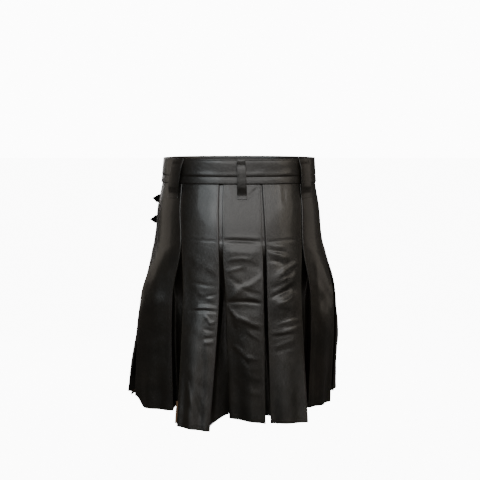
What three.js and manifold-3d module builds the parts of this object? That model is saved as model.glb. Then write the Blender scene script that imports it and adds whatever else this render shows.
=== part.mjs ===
// A leather kilt in its worn shape, hollow: seven box pleats round the back and sides, a wrap-over front
// with two buckled hip straps, and a deep waistband with three belt loops.
// Millimetres, +Z up, origin at the middle of the waist opening. The front faces -Y and the back +Y,
// so +X is the wearer's left. A drop is a distance below the top of the waistband.
// Angles round the body start at the centre back and grow towards the wearer's left.
import * as THREE from "three";
import Module from "manifold-3d";
import { mergeVertices } from "three/addons/utils/BufferGeometryUtils.js";

const wasm = await Module();
wasm.setup();

// Driving dimensions
const KILT_LENGTH = 610;
const LEATHER = 1.4;
const SEAM_GAP = 0.35;
const BAND_HEIGHT = 60;
const BAND_THICK = 2.6;
const BAND_OFFSET = LEATHER / 2 + SEAM_GAP + BAND_THICK / 2;
const PLEAT_TOP = 48;
const FELL_END = 190;
const MID_DROP = 330;
const FOLD_RADIUS = 0.95;
const INNER_FOLD_RADIUS = 1.1;
const OPEN_RADIUS = 7;
const APRON_LIFT = 2.7;
const UNDER_APRON_DEPTH = 5.6;

// The garment's outline: half width, sideways lean, and the depth behind and in front, at each drop.
const OUTLINE = table(
  ["drop", "halfWidth", "lean", "back", "front"],
  [
    [0, 180, 2, 122, 120],
    [60, 185, 3, 128, 122],
    [120, 196, 4, 142, 128],
    [190, 203, 4, 155, 134],
    [240, 216, 5, 163, 140],
    [300, 227, 6, 170, 147],
    [400, 236, 8, 180, 156],
    [500, 243, 16, 188, 163],
    [660, 250, 24, 197, 170],
  ],
);

// The box pleats. from and to are the angles of a pleat's two fold edges, at the waistband and at the end
// of the sewn-down part. Below it a pleat hangs free: x, y and turn place its face half way down and at
// the hem, and turn is the angle that it faces. open is how far each return swings, and lift raises the
// hem at the two edges.
const PLEATS = table(
  ["name", "from", "to", "fellFrom", "fellTo", "midX", "midY", "midTurn", "hemX", "hemY", "hemTurn",
    "hemWidth", "bulge", "openFrom", "openTo", "liftFrom", "liftTo", "corner"],
  [
    ["right_3", -130, -89.3, -117, -81, -229, -14, -94, -228, -44, -94, 90, 8, 55, 62, 32, 34, 0],
    ["right_2", -87.5, -52.4, -79, -48.8, -197, 78, -49, -193, 66, -50, 88, 5, 66, 66, 14, 14, 0],
    ["right_1", -50.6, -17.8, -46.8, -18.7, -104, 150, -24, -115, 191, -6, 86, 6, 50, 62, 0, 0, 0],
    ["centre", -15.3, 10.9, -15.6, 10.1, -11, 171, 3, -17, 190, 15, 85, 5, 62, 80, 0, 8, 0],
    ["left_1", 14.9, 45.2, 13.4, 40.5, 91, 158, 17, 108, 214, 11, 76, 9, 82, 80, -13, -4, 0],
    ["left_2", 47, 83.6, 42, 73, 199, 98, 28, 206, 106, 27, 104, 6, 74, 60, 14, 14, 26],
    ["left_3", 85.4, 126, 75, 120, 232, -6, 93, 269, -24, 96, 98, 9, 60, 0, 40, 14, 0],
  ],
);
const MID_WIDTH = 86;
const MID_BULGE = 6;

// The large cross folds on the back pleats: where each lies across the face from its middle, how wide it
// is, and how far it stands out of the leather, or sinks in where the height is negative.
const FOLDS = table(
  ["pleat", "drop", "across", "halfWidth", "tall", "height"],
  [
    ["centre", 275, -8, 40, 30, 3.2],
    ["centre", 335, 0, 46, 22, -3.4],
    ["centre", 370, -6, 38, 26, 2.4],
    ["left_1", 305, -16, 34, 24, 2.2],
    ["left_1", 335, -14, 32, 20, -2.8],
    ["left_1", 370, -26, 20, 30, 2.2],
    ["right_1", 275, 4, 36, 22, 2.2],
    ["right_1", 305, 6, 36, 22, -2.4],
    ["right_1", 335, 2, 40, 24, 2.4],
    ["right_1", 370, 6, 34, 22, -2.0],
    ["left_2", 335, 4, 44, 40, 2.4],
    ["right_2", 335, 6, 30, 44, -2.6],
    ["left_3", 370, 0, 40, 40, 2.2],
    ["right_3", 335, 0, 40, 44, -2.4],
  ],
);

// Upright flutes that run into the hem: where they start, how far apart the crests are, and their height.
const FLUTES = table(
  ["pleat", "start", "pitch", "shift", "height"],
  [
    ["left_1", 380, 34, 6, 4.6],
    ["right_2", 300, 52, 0, 3.4],
    ["left_2", 420, 60, 12, 3.2],
    ["centre", 400, 56, -8, 2.6],
    ["right_1", 420, 66, 8, 2.2],
    ["left_3", 400, 56, 0, 1.6],
    ["right_3", 380, 56, 6, 3.4],
  ],
);

const UNDERLAY_NAMES = ["right_3", "right_2", "right_1", "left_1", "left_2", "left_3"];
const UNDERLAY_LIFT = 12;
const UNDERLAY_RISE = { left_1: 16 };

const ROW_DROPS = [PLEAT_TOP, 61, 110, 147, 186, 196, 212, 235, 275, 305, 335, 370, 425, 490, 550, KILT_LENGTH];

const LEATHER_FINISH = { color: 0x15130f, roughness: 0.42, metalness: 0 };
const METAL_FINISH = { color: 0x2b2b2d, roughness: 0.32, metalness: 0.9 };

function table(columns, rows) {
  return rows.map((row) => Object.fromEntries(columns.map((name, i) => [name, row[i]])));
}

const radians = THREE.MathUtils.degToRad;
const lerp = THREE.MathUtils.lerp;

function smooth(value, start, end) {
  return THREE.MathUtils.smoothstep(value, start, end);
}

// A smooth curve through a table's column, and straight on past its ends.
function along(rows, column, drop) {
  let i = rows.findIndex((row) => row.drop > drop) - 1;
  if (i < 0) i = drop < rows[0].drop ? 0 : rows.length - 2;
  const slopeAt = (k) => {
    const a = rows[Math.max(k - 1, 0)];
    const b = rows[Math.min(k + 1, rows.length - 1)];
    return (b[column] - a[column]) / (b.drop - a.drop);
  };
  return hermite(rows[i].drop, rows[i + 1].drop, rows[i][column], rows[i + 1][column],
    slopeAt(i), slopeAt(i + 1), drop);
}

function hermite(x0, x1, y0, y1, slope0, slope1, x) {
  const span = x1 - x0;
  const t = (x - x0) / span;
  const t2 = t * t;
  const t3 = t2 * t;
  return y0 * (2 * t3 - 3 * t2 + 1) + y1 * (3 * t2 - 2 * t3)
    + span * (slope0 * (t3 - 2 * t2 + t) + slope1 * (t3 - t2));
}

// A point of the garment's outline, in plan.
function outlinePoint(degrees, drop) {
  const angle = radians(degrees);
  const cosine = Math.cos(angle);
  const depth = along(OUTLINE, cosine > 0 ? "back" : "front", drop);
  return new THREE.Vector2(
    along(OUTLINE, "lean", drop) + along(OUTLINE, "halfWidth", drop) * Math.sin(angle),
    depth * cosine,
  );
}

// The direction of travel round the body at an angle, and the outward normal beside it.
function outlineTangent(degrees, drop) {
  const step = 0.5;
  return outlinePoint(degrees + step, drop).sub(outlinePoint(degrees - step, drop)).normalize();
}

function outward(tangent) {
  return new THREE.Vector2(-tangent.y, tangent.x);
}

// The two fold edges of a pleat at a drop, in plan.
function pleatEdges(pleat, drop) {
  const sewn = (d) => [sewnPoint(pleat, 0, d), sewnPoint(pleat, 1, d)];
  if (drop <= FELL_END) return sewn(drop);
  const hanging = (x, y, turn, width) => {
    const tangent = new THREE.Vector2(Math.cos(radians(turn)), -Math.sin(radians(turn)));
    return [-0.5, 0.5].map((side) => new THREE.Vector2(x, y).addScaledVector(tangent, side * width));
  };
  const fell = sewn(FELL_END);
  const above = sewn(FELL_END - 20);
  const mid = hanging(pleat.midX, pleat.midY, pleat.midTurn, MID_WIDTH);
  const hem = hanging(pleat.hemX, pleat.hemY, pleat.hemTurn, pleat.hemWidth);
  return [0, 1].map((side) => {
    const place = ["x", "y"].map((axis) => {
      const [a, b, c] = [fell, mid, hem].map((points) => points[side][axis]);
      const slopeFell = (a - above[side][axis]) / 20;
      const slopeMid = (c - a) / (KILT_LENGTH - FELL_END);
      const slopeHem = (c - b) / (KILT_LENGTH - MID_DROP);
      return drop < MID_DROP
        ? hermite(FELL_END, MID_DROP, a, b, slopeFell, slopeMid, drop)
        : hermite(MID_DROP, KILT_LENGTH, b, c, slopeMid, slopeHem, drop);
    });
    return new THREE.Vector2(...place);
  });
}

// A place across a pleat where it is sewn down, on the garment's outline. t is 0 and 1 at its edges.
function sewnPoint(pleat, t, drop) {
  const down = THREE.MathUtils.clamp((drop - BAND_HEIGHT) / (FELL_END - BAND_HEIGHT), 0, 1);
  const from = lerp(pleat.from, pleat.fellFrom, down);
  const to = lerp(pleat.to, pleat.fellTo, down);
  return outlinePoint(lerp(from, to, t), drop);
}

// How far the leather of a face stands out of its smooth curve, at a place across it from its middle.
function relief(pleat, across, drop) {
  let height = 0;
  for (const fold of FOLDS.filter((row) => row.pleat === pleat.name)) {
    const sideways = (across - fold.across) / fold.halfWidth;
    const down = (drop - fold.drop) / fold.tall;
    height += fold.height * Math.exp(-(sideways ** 2) - 2.5 * down ** 2);
  }
  for (const flute of FLUTES.filter((row) => row.pleat === pleat.name)) {
    const wave = Math.cos((2 * Math.PI * (across - flute.shift)) / flute.pitch);
    height += flute.height * wave * smooth(drop, flute.start, KILT_LENGTH);
  }
  return height;
}

// Where a place of a face lies along its chord and above it, both as a share of the chord's length.
function sewnShape(pleat, t, drop) {
  const sewn = Math.min(drop, FELL_END);
  const from = sewnPoint(pleat, 0, sewn);
  const chord = sewnPoint(pleat, 1, sewn).sub(from);
  const local = sewnPoint(pleat, t, sewn).sub(from);
  const span = chord.lengthSq();
  return { along: local.dot(chord) / span, rise: local.dot(outward(chord)) / span };
}

function facePlace(pleat, t, drop, reliefShare = 1) {
  const [from, to] = pleatEdges(pleat, drop);
  const chord = to.sub(from);
  const width = chord.length();
  const free = smooth(drop, FELL_END, MID_DROP);
  const sewn = sewnShape(pleat, t, drop);
  const bulge = lerp(MID_BULGE, pleat.bulge, smooth(drop, MID_DROP, KILT_LENGTH)) / width;
  const edgeFade = 1 - (2 * t - 1) ** 4;
  const rise = lerp(sewn.rise, bulge * 4 * t * (1 - t), free);
  const stand = rise + (reliefShare * edgeFade * relief(pleat, (t - 0.5) * width, drop)) / width;
  return from.addScaledVector(chord, lerp(sewn.along, t, free)).addScaledVector(outward(chord), stand);
}

// A point of a surface given in plan by place(t), with the direction of travel and the outward normal.
function offsetPoint(place, t, offset, step = 0.01) {
  const before = place(Math.max(t - step, 0));
  const tangent = place(Math.min(t + step, 1)).sub(before).normalize();
  const normal = outward(tangent);
  return { place: place(t).addScaledVector(normal, offset), tangent, normal };
}

function facePoint(pleat, t, drop, offset = 0) {
  return offsetPoint((share) => facePlace(pleat, share, drop), t, offset);
}

function hemLift(pleat, t) {
  return lerp(pleat.liftFrom, pleat.liftTo, t) + pleat.corner * smooth(t, 0.72, 1);
}

function opened(drop) {
  return smooth(drop, FELL_END + 2, MID_DROP + 20);
}

function turnAbout(point, centre, angle) {
  return point.clone().rotateAround(centre, angle);
}

// The fold at one edge of a surface and the two stations of the return behind it. side is 1 at the edge
// where t is 1 and -1 where t is 0. The return swings open about the fold, and reach is the share of
// the surface between two stations. deeper is the same path one layer further in.
function foldedEdge(surface, side, swingDegrees, reach) {
  const end = side > 0 ? 1 : 0;
  const edge = surface(end, 0);
  const away = edge.tangent.clone().multiplyScalar(side);
  const swing = radians(swingDegrees);
  const centre = edge.place.clone().addScaledVector(edge.normal, -FOLD_RADIUS);
  const fold = [1, 2, 3].map((i) => {
    const angle = ((Math.PI - swing) * i) / 3;
    const normal = edge.normal.clone().multiplyScalar(Math.cos(angle)).addScaledVector(away, Math.sin(angle));
    return { place: centre.clone().addScaledVector(normal, FOLD_RADIUS), normal };
  });
  const behind = (depth) => [1, 2].map((step) => {
    const point = surface(end - side * step * reach, -depth);
    return {
      place: turnAbout(point.place, centre, side * swing),
      normal: turnAbout(point.normal.clone().negate(), new THREE.Vector2(), side * swing),
      heading: turnAbout(point.tangent.clone().multiplyScalar(-side), new THREE.Vector2(), side * swing),
    };
  });
  return { fold, back: behind(2 * FOLD_RADIUS), deeper: behind(2 * FOLD_RADIUS + 2 * INNER_FOLD_RADIUS) };
}

const FACE_STEPS = 6;
const swingAt = (hemDegrees, drop) => 0.2 + hemDegrees * opened(drop);

function pleatEdge(pleat, side, drop) {
  const swing = swingAt(side > 0 ? pleat.openTo : pleat.openFrom, drop);
  const creased = 1 - smooth(swing, 0, 15);
  const surface = (t, offset) => offsetPoint((share) => facePlace(pleat, share, drop, creased), t, offset);
  return foldedEdge(surface, side, swing, 1 / FACE_STEPS);
}

function solidPoint(point, z) {
  return {
    place: new THREE.Vector3(point.place.x, point.place.y, z),
    normal: new THREE.Vector3(point.normal.x, point.normal.y, 0),
  };
}

// How much of a hem's unevenness shows at a drop.
function hemShare(drop) {
  return smooth(drop, KILT_LENGTH - 200, KILT_LENGTH);
}

// A row of a pleat's wall: one return, the face, and the other return.
function pleatRow(pleat, drop) {
  const raised = (t) => -(drop - hemLift(pleat, t) * hemShare(drop));
  const first = pleatEdge(pleat, -1, drop);
  const last = pleatEdge(pleat, 1, drop);
  const row = [...first.fold, ...first.back].reverse().map((point) => solidPoint(point, raised(0)));
  for (let i = 0; i <= FACE_STEPS; i++) {
    const t = i / FACE_STEPS;
    row.push(solidPoint(facePoint(pleat, t, drop), raised(t)));
  }
  for (const point of [...last.fold, ...last.back]) row.push(solidPoint(point, raised(1)));
  return row;
}

// The arc from a return's end to the crossing strip, which it leaves towards a target.
function innerFold(end, target, radius) {
  const start = end.place.clone().addScaledVector(end.heading, SEAM_GAP);
  const centre = start.clone().addScaledVector(end.normal, radius);
  const spoke = start.clone().sub(centre).normalize();
  const turning = Math.sign(spoke.cross(end.heading));
  let leave = spoke;
  for (let i = 0; i < 6; i++) {
    const direction = target.clone().sub(centre).addScaledVector(leave, -radius).normalize();
    leave = new THREE.Vector2(direction.y, -direction.x).multiplyScalar(turning);
  }
  let sweep = (leave.angle() - spoke.angle()) * turning;
  while (sweep < 0) sweep += 2 * Math.PI;
  if (sweep > 1.5 * Math.PI) sweep = 0.05;
  return [0, 1, 2].map((i) => {
    const out = turnAbout(spoke, new THREE.Vector2(), (turning * sweep * i) / 2);
    return { place: centre.clone().addScaledVector(out, radius), normal: out.clone().negate() };
  });
}

// A row of the hidden layer between two folded edges: an inner fold, a crossing strip, an inner fold.
const UNDERLAY_BOW = 8;
const UNDERLAY_LOOSE = 300;

function underlayRow(low, high, lifts, drop) {
  const open = opened(drop);
  const radius = lerp(INNER_FOLD_RADIUS, OPEN_RADIUS, open);
  const chord = high.back[1].place.clone().sub(low.back[1].place);
  const inward = outward(chord).normalize().negate();
  const free = (t) => low.back[1].place.clone().addScaledVector(chord, t)
    .addScaledVector(inward, 1.6 * radius + UNDERLAY_BOW * Math.sin(Math.PI * t) * open);
  const loose = smooth(drop, FELL_END + 2, UNDERLAY_LOOSE);
  const nearLow = low.deeper[0].place.clone().lerp(free(0.27), loose);
  const nearHigh = high.deeper[0].place.clone().lerp(free(0.73), loose);
  const middle = nearLow.clone().add(nearHigh).multiplyScalar(0.5).lerp(free(0.5), loose);
  const crossing = [nearLow, middle, nearHigh].map((place, i, all) => {
    const run = all[Math.min(i + 1, 2)].clone().sub(all[Math.max(i - 1, 0)]).normalize();
    return { place, normal: outward(run) };
  });
  const opening = innerFold(low.back[1], nearLow, radius);
  const closing = innerFold(high.back[1], nearHigh, radius).reverse();
  const points = [...opening, ...crossing, ...closing];
  return points.map((point, i) => {
    const t = i / (points.length - 1);
    const lift = lerp(lifts[0], lifts[1], t) + UNDERLAY_LIFT * Math.sin(Math.PI * t);
    return solidPoint(point, -(drop - lift * hemShare(drop)));
  });
}

// The plan of the wrap-over front. u runs from its free edge, on the wearer's left, to its last pleat edge.
const LEFT_FRONT = PLEATS[PLEATS.length - 1];
const RIGHT_FRONT = PLEATS[0];
const APRON_OVERLAP = 0.86;
const APRON_GAP = 7;
const APRON_STEPS = 18;
const APRON_SWING = 55;

function frontPlace(v, drop) {
  const t = THREE.MathUtils.clamp((drop - BAND_HEIGHT) / (FELL_END - BAND_HEIGHT), 0, 1);
  const begin = lerp(LEFT_FRONT.to, LEFT_FRONT.fellTo, t);
  const finish = 357.6 + lerp(RIGHT_FRONT.from, RIGHT_FRONT.fellFrom, t);
  const onBody = outlinePoint(lerp(begin, finish, v), drop);
  const left = facePoint(LEFT_FRONT, 1, drop);
  const right = facePoint(RIGHT_FRONT, 0, drop);
  const rightEdge = right.place.clone().addScaledVector(right.tangent, -APRON_GAP);
  const hanging = left.place.clone().lerp(rightEdge, (1 - Math.cos(Math.PI * v)) / 2);
  const reach = along(OUTLINE, "front", drop) + (left.place.y + rightEdge.y) / 2;
  hanging.y -= reach * Math.sin(Math.PI * v);
  return onBody.lerp(hanging, smooth(drop, FELL_END - 10, MID_DROP + 40));
}

function frontPoint(u, drop, offset = 0) {
  return offsetPoint((v) => frontPlace(v, drop), u, offset);
}

const FRONT_LIFTS = { free: 14, middle: 4, pleated: 16 };

function frontDrop(u, drop) {
  const edges = lerp(FRONT_LIFTS.free, FRONT_LIFTS.pleated, u);
  return -(drop - lerp(edges, FRONT_LIFTS.middle, Math.sin(Math.PI * u)) * hemShare(drop));
}

function apronOffset(u) {
  return lerp(APRON_LIFT, 0, smooth(u, 0.04, 0.4));
}

// Where an angle at the waistband lies across the front.
function frontShare(degrees) {
  return (degrees - LEFT_FRONT.to) / (357.6 + RIGHT_FRONT.from - LEFT_FRONT.to);
}

// A soft roll in the front's lower half, so that it hangs like leather and not like a board.
function frontWave(u, drop) {
  return 5 * Math.cos(2 * Math.PI * 2.5 * u + 0.6) * Math.sin(Math.PI * u) * smooth(drop, 300, KILT_LENGTH);
}

function apronEdge(drop) {
  return foldedEdge((t, offset) => frontPoint(t, drop, offset), 1, swingAt(APRON_SWING, drop), 1 / APRON_STEPS);
}

function overApronRow(drop) {
  const row = [APRON_OVERLAP, 0.95].map((t) => {
    return solidPoint(facePoint(LEFT_FRONT, t, drop, APRON_LIFT), frontDrop(0, drop));
  });
  for (let i = 0; i <= APRON_STEPS; i++) {
    const u = i / APRON_STEPS;
    row.push(solidPoint(frontPoint(u, drop, apronOffset(u) + frontWave(u, drop)), frontDrop(u, drop)));
  }
  const edge = apronEdge(drop);
  for (const point of [...edge.fold, ...edge.back]) row.push(solidPoint(point, frontDrop(1, drop)));
  return row;
}

// The layer under the wrap, sewn behind the last pleat on the wearer's left.
const UNDER_APRON_END = 0.8;
const UNDER_APRON_SEAM = 4.7;
const UNDER_APRON_LIFT = 6;

function underApronRow(drop, steps = 12) {
  const shorter = UNDER_APRON_LIFT * hemShare(drop);
  const row = [4 / 6, 5 / 6, 1].map((t) => {
    const z = -(drop - hemLift(LEFT_FRONT, 1) * hemShare(drop)) + shorter;
    return solidPoint(facePoint(LEFT_FRONT, t, drop, -UNDER_APRON_SEAM), z);
  });
  for (let i = 1; i <= steps; i++) {
    const u = (UNDER_APRON_END * i) / steps;
    const depth = -lerp(UNDER_APRON_SEAM, UNDER_APRON_DEPTH, smooth(u, 0, 0.08));
    const hang = 0.7 * frontWave(u, drop) - 1.6 * smooth(drop, FELL_END, KILT_LENGTH);
    row.push(solidPoint(frontPoint(u, drop, depth + hang), frontDrop(u, drop) + shorter));
  }
  return row;
}

// A closed wall from rows of points that run round the body, from the top row down.
function wall(rows, thickness) {
  const positions = [];
  const columns = rows[0].length;
  for (const side of [0.5, -0.5]) {
    for (const row of rows) {
      for (const { place, normal } of row) {
        positions.push(...place.clone().addScaledVector(normal, side * thickness).toArray());
      }
    }
  }
  const outer = (r, c) => r * columns + c;
  const inner = (vertex) => vertex + rows.length * columns;
  const index = [];
  const rim = (a, b) => index.push(b, a, inner(a), b, inner(a), inner(b));
  for (let r = 0; r < rows.length - 1; r++) {
    for (let c = 0; c < columns - 1; c++) {
      const [a, b, d, e] = [outer(r, c), outer(r, c + 1), outer(r + 1, c + 1), outer(r + 1, c)];
      index.push(a, b, d, a, d, e);
      index.push(inner(a), inner(d), inner(b), inner(a), inner(e), inner(d));
    }
  }
  for (let c = 0; c < columns - 1; c++) {
    rim(outer(0, c), outer(0, c + 1));
    rim(outer(rows.length - 1, c + 1), outer(rows.length - 1, c));
  }
  for (let r = 0; r < rows.length - 1; r++) {
    rim(outer(r, columns - 1), outer(r + 1, columns - 1));
    rim(outer(r + 1, 0), outer(r, 0));
  }
  const geometry = new THREE.BufferGeometry();
  geometry.setAttribute("position", new THREE.Float32BufferAttribute(positions, 3));
  geometry.setIndex(index);
  return geometry;
}

// A point at an offset from the garment's outline, with the outward normal of the sloping surface.
function surfacePoint(degrees, drop, offset) {
  const flat = outlinePoint(degrees, drop);
  const around = outlineTangent(degrees, drop);
  const above = outlinePoint(degrees, drop - 5);
  const below = outlinePoint(degrees, drop + 5);
  const down = new THREE.Vector3(below.x - above.x, below.y - above.y, -10).normalize();
  const tangent = new THREE.Vector3(around.x, around.y, 0);
  const normal = tangent.clone().cross(down).normalize();
  const place = new THREE.Vector3(flat.x, flat.y, -drop).addScaledVector(normal, offset);
  return { place, normal, tangent, down };
}

// Waistband
const BAND_DROPS = [0, 30, BAND_HEIGHT];
const BAND_BACK = { from: -131.5, to: 118 };
const BAND_OVER = { from: 118.8, to: 227.6 };
const BAND_UNDER = { from: 128.5, to: 214 };

function bandRows(from, to, steps, offsetAt, drops = BAND_DROPS) {
  return drops.map((drop) => {
    const row = [];
    for (let i = 0; i <= steps; i++) {
      const degrees = lerp(from, to, i / steps);
      row.push(surfacePoint(degrees, drop, offsetAt(degrees)));
    }
    return row;
  });
}

function overBandOffset(degrees) {
  return BAND_OFFSET + apronOffset(frontShare(degrees)) + 0.15;
}

// Belt loops: a strap that is sewn down at both ends and stands off the waistband between them.
const LOOP_THICK = 2.2;
const LOOP_ROOM = 6.2;
const LOOP_LENGTH = 88;
const LOOPS = table(
  ["name", "angle", "lean", "width", "flare"],
  [
    ["back", -1.4, -1.2, 19, 3],
    ["left_back", 51, 3.2, 32, 0],
    ["right_back", -56, -0.6, 32, 0],
  ],
);

function loopRows(loop) {
  const base = BAND_OFFSET + BAND_THICK / 2;
  const below = LEATHER / 2;
  const seated = 2 * SEAM_GAP + LOOP_THICK / 2;
  const profile = [
    [2, base + seated],
    [9, base + seated],
    [13, base + LOOP_ROOM + LOOP_THICK / 2],
    [40, base + LOOP_ROOM + LOOP_THICK / 2],
    [68, base + LOOP_ROOM * 0.8 + LOOP_THICK / 2],
    [76, below + seated],
    [LOOP_LENGTH, below + seated],
  ];
  const reach = surfacePoint(loop.angle + 1, 30, 0).place.distanceTo(surfacePoint(loop.angle, 30, 0).place);
  return profile.map(([drop, offset], i) => {
    const t = i / (profile.length - 1);
    const width = loop.width + loop.flare * t;
    const [previous, next] = [profile[Math.max(i - 1, 0)], profile[Math.min(i + 1, profile.length - 1)]];
    const slope = (next[1] - previous[1]) / (next[0] - previous[0]);
    return [-0.5, -0.25, 0, 0.25, 0.5].map((side) => {
      const point = surfacePoint(loop.angle + loop.lean * t + (side * width) / reach, drop, offset);
      const normal = point.normal.clone().addScaledVector(point.down, -slope).normalize();
      return { place: point.place, normal };
    });
  });
}

// Hip straps and their buckles, on the wearer's left
const STRAP_THICK = 2.2;
const STRAP_HALF = 10;
const BUCKLE_WIRE = 3;
const BUCKLE_LENGTH = 25;
const BUCKLE_HALF = 15;
const HEEL_ANGLE = 112;
const STRAP_DROPS = { upper: 104, lower: 154 };
const HEEL_HEIGHT = 5.2;
const FRONT_BAR_HEIGHT = 9.4;

// Heights above the outline along a strap: reach is measured from the heel bar towards the front.
const STRAP_PATH = table(
  ["reach", "height", "half"],
  [
    [-37, 18.6, 0.8],
    [-31, 14.2, 5.2],
    [-24, 10.6, STRAP_HALF],
    [-12, 10.0, STRAP_HALF],
    [0, 10.8, STRAP_HALF],
    [8, 8.4, STRAP_HALF],
    [16, 5.6, STRAP_HALF],
    [26, 4.8, STRAP_HALF],
    [38, 4.8, STRAP_HALF],
    [50, 4.8, STRAP_HALF],
    [62, 4.8, STRAP_HALF],
  ],
);
const HIP_REACH = 2.38;

function hipPoint(drop, reach, up, height) {
  return surfacePoint(HEEL_ANGLE + reach / HIP_REACH, drop - up, height);
}

function stripAlong(path, drop, thickness, acrossSteps = 2) {
  const rows = [];
  for (let j = 0; j <= acrossSteps; j++) {
    const share = 1 - (2 * j) / acrossSteps;
    rows.push(path.map((station, i) => {
      const [a, b] = [path[Math.max(i - 1, 0)], path[Math.min(i + 1, path.length - 1)]];
      const run = b.reach - a.reach;
      const point = hipPoint(drop, station.reach, share * station.half, station.height);
      const slope = station.slope ?? (b.height - a.height) / run;
      return { place: point.place, normal: point.normal.clone().addScaledVector(point.tangent, -slope).normalize() };
    }));
  }
  return rows;
}

// The tab that holds the buckle: it is sewn to the pleat, goes round the heel bar and comes back.
function chapeRows(drop) {
  const thick = LEATHER;
  const low = LEATHER / 2 + 2 * SEAM_GAP + thick / 2;
  const loopRadius = BUCKLE_WIRE / 2 + 0.9 + thick / 2;
  const spine = [[-28, low, 0], [-20, low, 0], [-12, low, 0], [-4, low, 0]];
  const bend = 6;
  for (let i = 0; i <= bend; i++) {
    const angle = -Math.PI / 2 + (Math.PI * i) / bend;
    spine.push([loopRadius * Math.cos(angle), HEEL_HEIGHT + loopRadius * Math.sin(angle), angle + Math.PI / 2]);
  }
  spine.push([-5, HEEL_HEIGHT + loopRadius - 0.6, Math.PI + 0.25]);
  spine.push([-11, low + thick + 2 * SEAM_GAP, Math.PI + 0.1]);
  spine.push([-18, low + thick + SEAM_GAP, Math.PI], [-26, low + thick + SEAM_GAP, Math.PI]);
  return [1, 0, -1].map((share) => spine.map(([reach, height, heading]) => {
    const point = hipPoint(drop, reach, share * 8.5, height);
    const normal = point.normal.clone().multiplyScalar(Math.cos(heading))
      .addScaledVector(point.tangent, -Math.sin(heading));
    return { place: point.place, normal };
  }));
}

function asSolid(geometry) {
  const bare = geometry.clone();
  bare.deleteAttribute("normal");
  bare.deleteAttribute("uv");
  const merged = mergeVertices(bare, 1e-4);
  return new wasm.Manifold(new wasm.Mesh({
    numProp: 3,
    vertProperties: merged.attributes.position.array,
    triVerts: new Uint32Array(merged.index.array),
  }));
}

function asGeometry(solid) {
  const mesh = solid.getMesh();
  const geometry = new THREE.BufferGeometry();
  geometry.setAttribute("position", new THREE.BufferAttribute(mesh.vertProperties.slice(), 3));
  geometry.setIndex(new THREE.BufferAttribute(mesh.triVerts.slice(), 1));
  return geometry;
}

// A flat piece cut square through at one place along a hip strap.
function cutAtHip(geometry, drop, reach, length, width) {
  const point = hipPoint(drop, reach, 0, HEEL_HEIGHT + 2);
  const box = new THREE.BoxGeometry(length, width, 14);
  box.applyMatrix4(hipMatrix(point));
  return asGeometry(asSolid(geometry).subtract(asSolid(box)));
}

// Local axes at the hip: x towards the front, y up the garment, z outwards.
function hipMatrix(point) {
  const up = point.normal.clone().cross(point.tangent);
  return new THREE.Matrix4().makeBasis(point.tangent, up, point.normal).setPosition(point.place);
}

function buckleFrame() {
  const outer = roundedBox(BUCKLE_LENGTH, 2 * BUCKLE_HALF, 4);
  outer.holes.push(roundedBox(BUCKLE_LENGTH - 2 * BUCKLE_WIRE, 2 * (BUCKLE_HALF - BUCKLE_WIRE), 2));
  const geometry = new THREE.ExtrudeGeometry(outer, {
    depth: BUCKLE_WIRE - 1,
    bevelSize: 0.5,
    bevelThickness: 0.5,
    bevelSegments: 1,
    bevelOffset: -0.5,
    curveSegments: 2,
  });
  return geometry.translate(0, 0, -(BUCKLE_WIRE - 1) / 2);
}

function roundedBox(length, width, corner) {
  const [x, y] = [length / 2, width / 2];
  const shape = new THREE.Shape();
  shape.moveTo(-x + corner, -y);
  shape.lineTo(x - corner, -y);
  shape.absarc(x - corner, -y + corner, corner, -Math.PI / 2, 0);
  shape.lineTo(x, y - corner);
  shape.absarc(x - corner, y - corner, corner, 0, Math.PI / 2);
  shape.lineTo(-x + corner, y);
  shape.absarc(-x + corner, y - corner, corner, Math.PI / 2, Math.PI);
  shape.lineTo(-x, -y + corner);
  shape.absarc(-x + corner, -y + corner, corner, Math.PI, 1.5 * Math.PI);
  return shape;
}

// The frame tilts up from its heel bar to its front bar, which lies over the strap.
const BAR_SPACING = BUCKLE_LENGTH - BUCKLE_WIRE;
const BUCKLE_TILT = -Math.atan2(FRONT_BAR_HEIGHT - HEEL_HEIGHT, BAR_SPACING);

function placeAtBuckle(geometry, drop) {
  const heel = hipMatrix(hipPoint(drop, 0, 0, HEEL_HEIGHT));
  return geometry.applyMatrix4(new THREE.Matrix4().makeRotationY(BUCKLE_TILT)).applyMatrix4(heel);
}

// The prong: an eye that goes under and round the heel bar, and a pin that rests on the front bar.
function buckleProng() {
  const pin = 2;
  const eyeRadius = BUCKLE_WIRE / 2 + 0.5 + pin / 2;
  const points = [];
  for (let i = 0; i <= 8; i++) {
    const angle = radians(320 - (230 * i) / 8);
    points.push(new THREE.Vector3(eyeRadius * Math.cos(angle), 0, eyeRadius * Math.sin(angle)));
  }
  const rest = BUCKLE_WIRE / 2 + pin / 2 + 0.3;
  points.push(new THREE.Vector3(4, 0, rest + 0.2), new THREE.Vector3(11, 0, rest));
  points.push(new THREE.Vector3(BAR_SPACING - 4, 0, rest), new THREE.Vector3(BAR_SPACING + 2.2, 0, rest));
  const path = new THREE.CatmullRomCurve3(points);
  const section = new THREE.Shape();
  section.absarc(0, 0, pin / 2, 0, 2 * Math.PI);
  return new THREE.ExtrudeGeometry(section, { extrudePath: path, steps: 22, curveSegments: 3 });
}

const kilt = new THREE.Group();

function addPart(name, geometry, finish) {
  const mesh = new THREE.Mesh(geometry, new THREE.MeshStandardMaterial(finish));
  mesh.name = name;
  kilt.add(mesh);
}

for (const pleat of PLEATS) {
  addPart("pleat_" + pleat.name, wall(ROW_DROPS.map((drop) => pleatRow(pleat, drop)), LEATHER), LEATHER_FINISH);
}

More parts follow.
